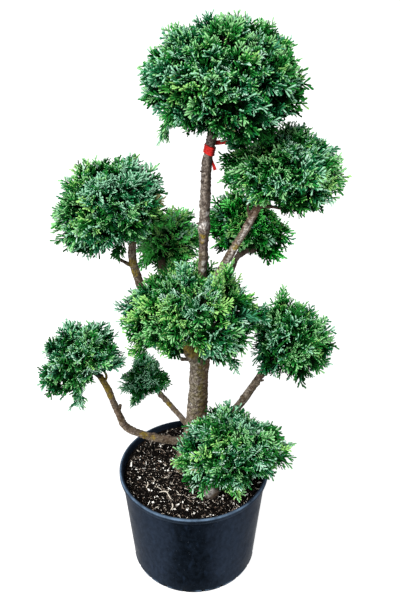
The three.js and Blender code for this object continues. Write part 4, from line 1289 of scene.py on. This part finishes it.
def pot_profile():
    """The pot's section from the middle of the underside, up the outer wall, over the rolled rim and
    down the inside to the middle of its floor: short arcs at the foot, the lip's step and the roll."""
    rim_foot = POT_HEIGHT - RIM_DROP
    outer = wall_radius(0) - POT_FOOT_ROUND
    runs = [
        np.stack([np.linspace(0.0, outer, 14), np.zeros(14)], axis=-1),
        arc((outer, POT_FOOT_ROUND), POT_FOOT_ROUND, -0.5 * np.pi, -0.06, 8)[1:],
    ]
    heights = np.concatenate([
        [0.0058, 0.0066, 0.0074, 0.0080, 0.0084, 0.0090, 0.0096],
        np.linspace(0.0115, rim_foot - 0.0012, 58),
    ])
    seam = SEAM_SWELL * bell(heights, SEAM_LEVEL, SEAM_HEIGHT)
    runs.append(np.stack([wall_radius(heights) + seam, heights], axis=-1))
    under = wall_radius(rim_foot)
    runs.append(np.array([
        (under + 0.0003, rim_foot - 0.0003), (POT_RIM_RADIUS - LIP_STEP - 0.0004, rim_foot),
        (POT_RIM_RADIUS - LIP_STEP, rim_foot + 0.0005), (POT_RIM_RADIUS - LIP_STEP, rim_foot + 0.0028),
        (POT_RIM_RADIUS - 0.0004, rim_foot + 0.0038), (POT_RIM_RADIUS, rim_foot + 0.0045),
    ]))
    runs.append(arc((POT_RIM_RADIUS - RIM_ROLL, POT_HEIGHT - RIM_ROLL), RIM_ROLL, 0, np.pi, 15))
    inner_top = wall_radius(rim_foot) - POT_WALL
    runs.append(np.array([(inner_top + 0.0005, rim_foot + 0.004), (inner_top, rim_foot)]))
    heights = np.linspace(rim_foot - 0.002, POT_FLOOR, 30)
    runs.append(np.stack([wall_radius(heights) - POT_WALL, heights], axis=-1))
    inner = wall_radius(POT_FLOOR) - POT_WALL
    runs.append(np.stack([np.linspace(inner - 0.004, 0.0, 8), np.full(8, POT_FLOOR)], axis=-1))
    return np.concatenate(runs)


def build_pot(material):
    """The section turned about the vertical axis, pressed in where the drain notches cut the foot and
    a little out of round higher up; the two ends close on the axis."""
    profile = pot_profile()
    even = np.linspace(0, 2 * np.pi, POT_SIDES, endpoint=False)
    notch = (np.arange(DRAIN_NOTCHES) + 0.5) / DRAIN_NOTCHES * 2 * np.pi
    half = 0.5 * NOTCH_WIDTH / POT_BASE_RADIUS
    edges = (notch[:, None] + half * np.array((-1.06, -0.98, 0.98, 1.06))).ravel()
    turn = np.unique(np.concatenate([even, edges]))
    radius = np.repeat(profile[:, :1], len(turn), axis=1)
    height = np.repeat(profile[:, 1:], len(turn), axis=1)
    away = np.abs(np.angle(np.exp(1j * (turn[:, None] - notch)))).min(1)
    inside = (away < half)[None] & (height < NOTCH_HEIGHT) & (radius > POT_BASE_RADIUS - NOTCH_DEPTH)
    near_foot = np.arange(len(profile))[:, None] < FOOT_ROWS
    inside &= near_foot & (height > NOTCH_SILL)
    radius = np.where(inside, POT_BASE_RADIUS - NOTCH_DEPTH, radius)
    wobble = POT_WOBBLE * smoothstep(height, 0.02, 0.2) * np.sin(3 * turn + 0.7)
    radius = np.where(radius > 0.02, radius + wobble, radius)
    rings = np.stack([radius * np.cos(turn), radius * np.sin(turn), height], axis=-1)[1:-1]
    vertices, faces = capped(rings)
    height = vertices[:, 2]
    out = np.hypot(vertices[:, 0], vertices[:, 1])
    splash = smoothstep(height, 0.05, 0.0) * (0.5 + 0.5 * noise(vertices, 0.02, 5))
    # Painted highlight lines along the rim's crest and the lip's step, and a light line along the foot
    # seam.
    crest_highlight = bell(height, POT_HEIGHT - 0.0012, 0.0016) * (out > POT_RIM_RADIUS - 0.0045)
    step = bell(height, POT_HEIGHT - RIM_DROP + 0.0034, 0.0010) * (out > POT_RIM_RADIUS - 0.002)
    foot_line = bell(height, SEAM_LEVEL, 2 * SEAM_HEIGHT) * (out > POT_BASE_RADIUS - 0.002)
    foot_line *= smoothstep(noise(vertices, 0.009, 8), -0.3, 0.5)
    # Painted sheen, lighter on both sides of the pot than in front and behind.
    sideways = np.abs(vertices[:, 0]) / np.maximum(out, 1e-6) + 0.10 * noise(vertices, 0.03, 9)
    painted_sheen = smoothstep(sideways, 0.12, 0.56) * np.where(vertices[:, 0] > 0, 1.0, 0.8)
    # Painted shade in and around the drain notches.
    dark = (away < half)[None] & near_foot & (profile[:, :1] > POT_BASE_RADIUS - NOTCH_DEPTH)
    dark &= profile[:, 1:] < NOTCH_HEIGHT
    new_piece("pot_shell", vertices, faces, [material], ["pot"], fields={
        "soiled": 0.3 * splash,
        # The worn field holds the painted highlight lines and the foot seam's light line.
        "worn": 0.75 * crest_highlight + 0.14 * step + 0.6 * foot_line,
        "painted_sheen": painted_sheen,
        "painted_notch_shade": np.append(dark[1:-1], (0.0, 0.0)),
    })


# Compost

def soil_height(x, y):
    """Height of the compost: flat in the middle, falling to the wall in front and banked up against it
    at the back, with clods from noise of three sizes and a heap at the trunk's foot."""
    radius = np.hypot(x, y)
    edge = wall_radius(SOIL_LEVEL) - POT_WALL
    fall = SOIL_FALL * smoothstep(radius, SOIL_FLAT_RADIUS, edge)
    spot = np.stack([x, y, np.zeros_like(x)], axis=-1)
    clods = (0.0022 * noise(spot, 0.016, 41) + 0.0014 * noise(spot, 0.007, 42)
             + 0.0008 * noise(spot, 0.003, 43))
    heap = 0.004 * np.exp(-((x ** 2 + (y - 0.032) ** 2) / 0.05 ** 2))
    bank = SOIL_BANK * smoothstep(radius, 0.07, edge) * smoothstep(y - 0.5 * np.abs(x), -0.14, 0.03)
    return SOIL_LEVEL - 0.0015 - fall + clods + heap + bank


def lumps(centres, sizes, draw, flat):
    """Crumbs: octahedra with their six corners pulled in and out at random, turned at random, and
    flattened by the given share."""
    corners = np.array([[1, 0, 0], [-1, 0, 0], [0, 1, 0], [0, -1, 0], [0, 0, 1], [0, 0, -1]], float)
    ring = np.array([[0, 2, 4], [2, 1, 4], [1, 3, 4], [3, 0, 4],
                     [2, 0, 5], [1, 2, 5], [3, 1, 5], [0, 3, 5]])
    count = len(centres)
    pulled = corners[None] * draw.uniform(0.6, 1.25, (count, 6, 1)) * flat
    frame_a = unit(draw.normal(0, 1, (count, 3)))
    frame_b = unit(np.cross(frame_a, draw.normal(0, 1, (count, 3))))
    frame_c = np.cross(frame_a, frame_b)
    turned = (pulled[..., :1] * frame_a[:, None] + pulled[..., 1:2] * frame_b[:, None]
              + pulled[..., 2:] * frame_c[:, None])
    vertices = centres[:, None] + turned * sizes[:, None, None]
    faces = ring[None] + 6 * np.arange(count)[:, None, None]
    return vertices.reshape(-1, 3), faces.reshape(-1, 3)


def chips(centres, lengths, widths, draw):
    """Splinters of wood fibre: flat six-sided strips, pointed at both ends, lying at a slight tilt."""
    count = len(centres)
    heading = draw.uniform(0, 2 * np.pi, count)
    along = unit(np.stack([np.cos(heading), np.sin(heading), draw.normal(0, 0.25, count)], axis=-1))
    across = unit(np.cross(along, unit(np.stack([draw.normal(0, 0.35, count), draw.normal(0, 0.35, count),
                                                 np.ones(count)], axis=-1))))
    up = np.cross(across, along)
    outline = np.array([(-1, 0.15), (-0.55, 1), (0.6, 0.9), (1, -0.1), (0.5, -1), (-0.6, -0.85)])
    spot = (outline[None, :, :1] * (0.5 * lengths)[:, None, None] * along[:, None]
            + outline[None, :, 1:] * (0.5 * widths)[:, None, None] * across[:, None]
            * draw.uniform(0.7, 1.2, (count, 6, 1)))
    thick = (0.22 * widths)[:, None, None] * up[:, None]
    vertices = np.concatenate([centres[:, None] + spot + thick, centres[:, None] + spot - thick], axis=1)
    top = np.array([[0, 2, 1], [0, 3, 2], [0, 4, 3], [0, 5, 4]])
    here = np.arange(6)
    after = (here + 1) % 6
    side = [np.stack([here, after, here + 6], axis=-1), np.stack([after, after + 6, here + 6], axis=-1)]
    ring = np.concatenate([top, top[:, ::-1] + 6, *side])
    faces = ring[None] + 12 * np.arange(count)[:, None, None]
    return vertices.reshape(-1, 3), faces.reshape(-1, 3)


def scatter_on_soil(count, draw, rise):
    """Places spread evenly over the compost, raised a little from its surface."""
    edge = wall_radius(SOIL_LEVEL) - POT_WALL - 0.006
    radius = edge * np.sqrt(draw.uniform(0.0, 1.0, count))
    turn = draw.uniform(0, 2 * np.pi, count)
    x, y = radius * np.cos(turn), radius * np.sin(turn)
    return np.stack([x, y, soil_height(x, y) + rise], axis=-1)


# Tones of the compost: those of the crumbs, then those of the loose litter.
CRUMB_TONES = {"black": (5, 4, 4), "brown": (20, 16, 14), "earth": (46, 41, 38), "bark": (84, 70, 60)}
LITTER_TONES = {"fibre": (126, 114, 104), "chip": (198, 190, 178), "grit": (242, 240, 234)}
LITTER = tuple(LITTER_TONES)

# Larger white chunks on the compost, and thin roots and sticks: their line, radius and tone.
CHUNKS = (
    (-0.0868, -0.0859), (-0.0112, -0.1090), (-0.0222, -0.0892), (0.0372, -0.1220), (-0.1186, -0.0169),
    (-0.0770, 0.0859), (-0.0790, 0.0398), (-0.0488, 0.0512), (-0.0972, -0.0485), (-0.0351, -0.0959),
    (-0.0408, -0.1074), (0.0020, -0.1180), (-0.0640, 0.0100), (0.0900, -0.1050), (0.0700, 0.1100),
    (0.1200, 0.0600), (-0.0200, 0.1200),
)
ROOTS = (
    (((-0.0749, -0.0579), (-0.0604, -0.0545), (-0.0525, -0.0713), (-0.0475, -0.0798)), 0.0013, "chip"),
    (((-0.1020, -0.0267), (-0.1000, -0.0360), (-0.1035, -0.0440)), 0.0014, "chip"),
    (((-0.1410, 0.0335), (-0.1405, 0.0169)), 0.0018, "grit"),
    (((-0.0459, -0.0912), (-0.0440, -0.1010), (-0.0478, -0.1112)), 0.0015, "chip"),
    (((0.0800, -0.1100), (0.0920, -0.1020), (0.0960, -0.0900)), 0.0010, "fibre"),
    (((-0.0900, 0.0700), (-0.0760, 0.0740), (-0.0640, 0.0660)), 0.0009, "fibre"),
    (((0.0500, 0.1100), (0.0700, 0.1200), (0.0860, 0.1140)), 0.0012, "chip"),
)
ROOT_RINGS = 24
ROOT_SIDES = 8


def matt_tones(tones):
    """Plain matt materials of the compost, one for each named tone."""
    made = []
    for name, tone in tones.items():
        material, shader = shader_of(f"compost_{name}", paint(*tone), 0.95)
        shader.inputs["Specular IOR Level"].default_value = 0.06
        made.append(material)
    return made


def build_roots(tones):
    """Thin roots and sticks on the compost, as bark-covered tubes with rounded ends."""
    row = np.arange(ROOT_RINGS)
    rounded = np.sqrt(np.clip(np.minimum(row, row[::-1]) / 3.0 + 0.05, 0, 1))
    threads = []
    for order, (points, radius, _) in enumerate(ROOTS):
        ground = np.array(points)
        ground = np.column_stack([ground, soil_height(ground[:, 0], ground[:, 1]) + 0.0030])
        path = smooth_path(ground, (0.0, 1.0), ROOT_RINGS)
        relief = bark_relief(0.004, 0.0002, 0, SEED + 700 + order)
        rings, _ = limb_surface(path, radius * rounded, ROOT_SIDES, np.array((0.0, 0.0, 1.0)), relief)
        threads.append(capped(rings))
    vertices, faces = joined(threads)
    kinds = [LITTER.index(kind) for _, _, kind in ROOTS]
    per_tri = np.repeat(kinds, 2 * ROOT_SIDES)
    per_quad = np.repeat(kinds, (ROOT_RINGS - 1) * ROOT_SIDES)
    new_piece("compost_roots", vertices, faces, tones, ["soil"],
              tones=np.concatenate([per_tri, per_quad]))


def build_soil(material):
    """The compost's surface as height over a disc, closed below, with crumbs, pale wood fibre, white
    grit and thin roots scattered on it."""
    draw = np.random.default_rng(SEED + 900)
    turn = np.linspace(0, 2 * np.pi, SOIL_SIDES, endpoint=False)
    edge = wall_radius(SOIL_LEVEL - SOIL_FALL) - POT_WALL - SOIL_GAP
    reach = np.linspace(0.0, 1.0, SOIL_ROWS)[1:, None] * edge
    x, y = reach * np.cos(turn), reach * np.sin(turn)
    top = np.stack([x, y, soil_height(x, y)], axis=-1)
    heights = np.linspace(SOIL_LEVEL - SOIL_FALL - 0.006, POT_FLOOR + 0.0003, 6)
    wall = wall_radius(heights) - POT_WALL - SOIL_GAP
    skirt = np.stack(np.broadcast_arrays(
        wall[:, None] * np.cos(turn), wall[:, None] * np.sin(turn), heights[:, None]), axis=-1)
    vertices, faces = capped(np.concatenate([top, skirt])[:, ::-1])
    vertices[-2, 2] = soil_height(np.zeros(1), np.zeros(1))[0]
    new_piece("compost_bed", vertices, faces, [material], ["soil"])

    crumb_tones = matt_tones(CRUMB_TONES)
    litter_tones = matt_tones(LITTER_TONES)
    spots = scatter_on_soil(CRUMBS, draw, 0.0005)
    vertices, faces = lumps(spots, draw.uniform(0.0012, 0.0038, CRUMBS), draw, np.array((1.0, 0.8, 0.7)))
    pick = draw.choice(len(crumb_tones), CRUMBS, p=(0.50, 0.30, 0.13, 0.07)).repeat(8)
    new_piece("compost_crumbs", vertices, faces, crumb_tones, ["soil"], tones=pick, smooth=False)

    spots = scatter_on_soil(SLIVERS, draw, 0.0018)
    lengths = 0.0022 + 0.011 * draw.uniform(0, 1, SLIVERS) ** 3.5
    widths = np.minimum(draw.uniform(0.0007, 0.0022, SLIVERS), 0.6 * lengths)
    vertices, faces = chips(spots, lengths, widths, draw)
    pick = draw.choice(len(litter_tones), SLIVERS, p=(0.58, 0.28, 0.14)).repeat(20)
    new_piece("compost_fibre", vertices, faces, litter_tones, ["soil"], tones=pick, smooth=False)

    loose = scatter_on_soil(GRAINS, draw, 0.0016)
    placed = np.array(CHUNKS)
    placed = np.column_stack([placed, soil_height(placed[:, 0], placed[:, 1]) + 0.0022])
    spots = np.concatenate([loose, placed, placed + draw.normal(0, 0.0026, placed.shape) * (1, 1, 0.2)])
    size = np.concatenate([0.0006 + 0.0020 * draw.uniform(0, 1, GRAINS) ** 3,
                           draw.uniform(0.0022, 0.0036, 2 * len(placed))])
    vertices, faces = lumps(spots, size, draw, np.array((1.25, 0.85, 0.6)))
    pick = np.concatenate([draw.choice(2, GRAINS, p=(0.6, 0.4)), np.ones(2 * len(placed), int)]).repeat(8)
    new_piece("compost_grit", vertices, faces, litter_tones[1:], ["soil"], tones=pick,
              smooth=False)
    build_roots(litter_tones)


# Tie

def build_tie(material, table):
    """The tie: four turns of tape round the trunk, each a raised ridge that climbs as it goes round, a
    hanging end and a strap that runs off to the right."""
    path, radii = table["trunk"]
    heights = np.linspace(TIE_BAND[0], TIE_BAND[1], TIE_ROWS)
    turn = np.linspace(0, 2 * np.pi, TIE_SIDES, endpoint=False)
    middle = np.stack([np.interp(heights, path[:, 2], path[:, k]) for k in range(3)], axis=-1)
    base = np.interp(heights, path[:, 2], radii)[:, None] + TIE_GAP
    climb = (heights - TIE_BAND[0])[:, None] / TIE_TURN - turn[None] / (2 * np.pi)
    ridge = np.abs(np.sin(np.pi * climb))
    row = np.arange(TIE_ROWS)
    ends = np.sqrt(np.clip(np.minimum(row, row[::-1]) / 3.0, 0, 1))[:, None]
    around = np.broadcast_arrays(0.01 * np.cos(turn), 0.01 * np.sin(turn), heights[:, None])
    spot = np.stack(around, axis=-1)
    crumple = 0.0005 * noise(spot, 0.004, 77)
    reach = base + ends * (0.45 + 0.55 * ridge) * TIE_THICKNESS + ends * crumple
    spoke = np.stack([np.cos(turn), np.sin(turn), np.zeros_like(turn)], axis=-1)
    outer = middle[:, None] + reach[..., None] * spoke[None]
    outer[..., 2] -= TIE_SLOPE * reach * np.cos(turn)
    parts = [capped(outer)]
    # Painted shade on the band's side away from the light and in the troughs between its turns.
    shaded = 0.95 * smoothstep(np.cos(turn), 0.15, 0.75)
    painted_tape_shade = [np.maximum(0.6 * np.clip(1 - ridge * 2.2, 0, 1), shaded).ravel(), np.zeros(2)]
    share = np.linspace(0, 1, STRIP_ROWS)
    around = np.linspace(0, 2 * np.pi, STRIP_SIDES, endpoint=False)
    curl = 0.0008 * np.sin(9 * share)
    thick = STRIP_HALF_THICKNESS * np.sin(around)[None] + curl[:, None] * np.cos(around) ** 2
    # Painted shade in bands along the loose end and the strap.
    strip_shade = np.repeat(0.35 + 0.35 * np.sin(7 * share), STRIP_SIDES)
    for points, widths, across in TIE_STRIPS:
        line = smooth_path(points, (0.0, 1.0), STRIP_ROWS)
        _, first, second = limb_frames(line, np.array(across))
        wide = widths[0] + (widths[1] - widths[0]) * share
        rings = (line[:, None] + (wide[:, None] * np.cos(around))[..., None] * first[:, None]
                 + thick[..., None] * second[:, None])
        parts.append(capped(rings))
        painted_tape_shade += [strip_shade, np.zeros(2)]
    vertices, faces = joined(parts)
    new_piece("tie_tape", vertices, faces, [material], ["tie_band"],
              fields={"painted_tape_shade": np.concatenate(painted_tape_shade)})


# Stage

def build_stage():
    """A wide pale floor, even soft light from all round, a broad soft key from the upper left and the
    camera at the photo's place."""
    material, shader = shader_of("floor", FLOOR_GREY, 0.9)
    shader.inputs["Specular IOR Level"].default_value = 0.0
    shader.inputs["Emission Color"].default_value = (1.0, 1.0, 1.0, 1.0)
    shader.inputs["Emission Strength"].default_value = FLOOR_GLOW
    mesh = bpy.data.meshes.new("floor")
    corners = [(x * FLOOR_HALF, y * FLOOR_HALF, 0) for x, y in ((-1, -1), (1, -1), (1, 1), (-1, 1))]
    mesh.from_pydata(corners, [], [(0, 1, 2, 3)])
    mesh.materials.append(material)
    floor = bpy.data.objects.new("floor", mesh)
    bpy.context.scene.collection.objects.link(floor)

    world = bpy.data.worlds.new("studio")
    world.use_nodes = True
    sky = world.node_tree.nodes["Background"]
    sky.inputs["Color"].default_value = SKY_COLOR
    sky.inputs["Strength"].default_value = SKY_STRENGTH
    bpy.context.scene.world = world

    key = bpy.data.lights.new("key", "SUN")
    key.energy = KEY_STRENGTH
    key.angle = math.radians(KEY_SPREAD)
    key.color = KEY_COLOR
    lamp = bpy.data.objects.new("key", key)
    lamp.rotation_euler = [math.radians(angle) for angle in KEY_TURN]
    bpy.context.scene.collection.objects.link(lamp)

    camera = bpy.data.cameras.new("camera")
    camera.lens = VIEW_LENS
    camera.sensor_width = 36
    view = bpy.data.objects.new("camera", camera)
    view.location = VIEW_PLACE
    view.rotation_euler = (math.radians(90 - VIEW_TILT), 0.0, 0.0)
    bpy.context.scene.collection.objects.link(view)
    bpy.context.scene.camera = view
    bpy.context.scene.view_settings.view_transform = "Standard"


def build_plant():
    """All pieces of the plant, its pot, compost and tie."""
    table = limb_table()
    build_limbs(table, bark_material())
    build_pot(pot_material())
    build_soil(soil_material())
    build_tie(tie_material(), table)
    draw = np.random.default_rng(SEED)
    forms = [spray_form(FINGERS, FORKED, FINGER_WIDTH, draw) for _ in range(SPRAY_FORMS)]
    forms += [spray_form(INNER_FINGERS, 0, INNER_WIDTH, draw) for _ in range(INNER_FORMS)]
    leaves = foliage_materials()
    twig_material = shader_of("twig_bark", paint(32, 30, 15), 0.9)[0]
    for index, name in enumerate(MASSES):
        build_mass(name, table, forms, leaves, twig_material, np.random.default_rng(SEED + 7 * index + 1))


build_plant()
build_stage()
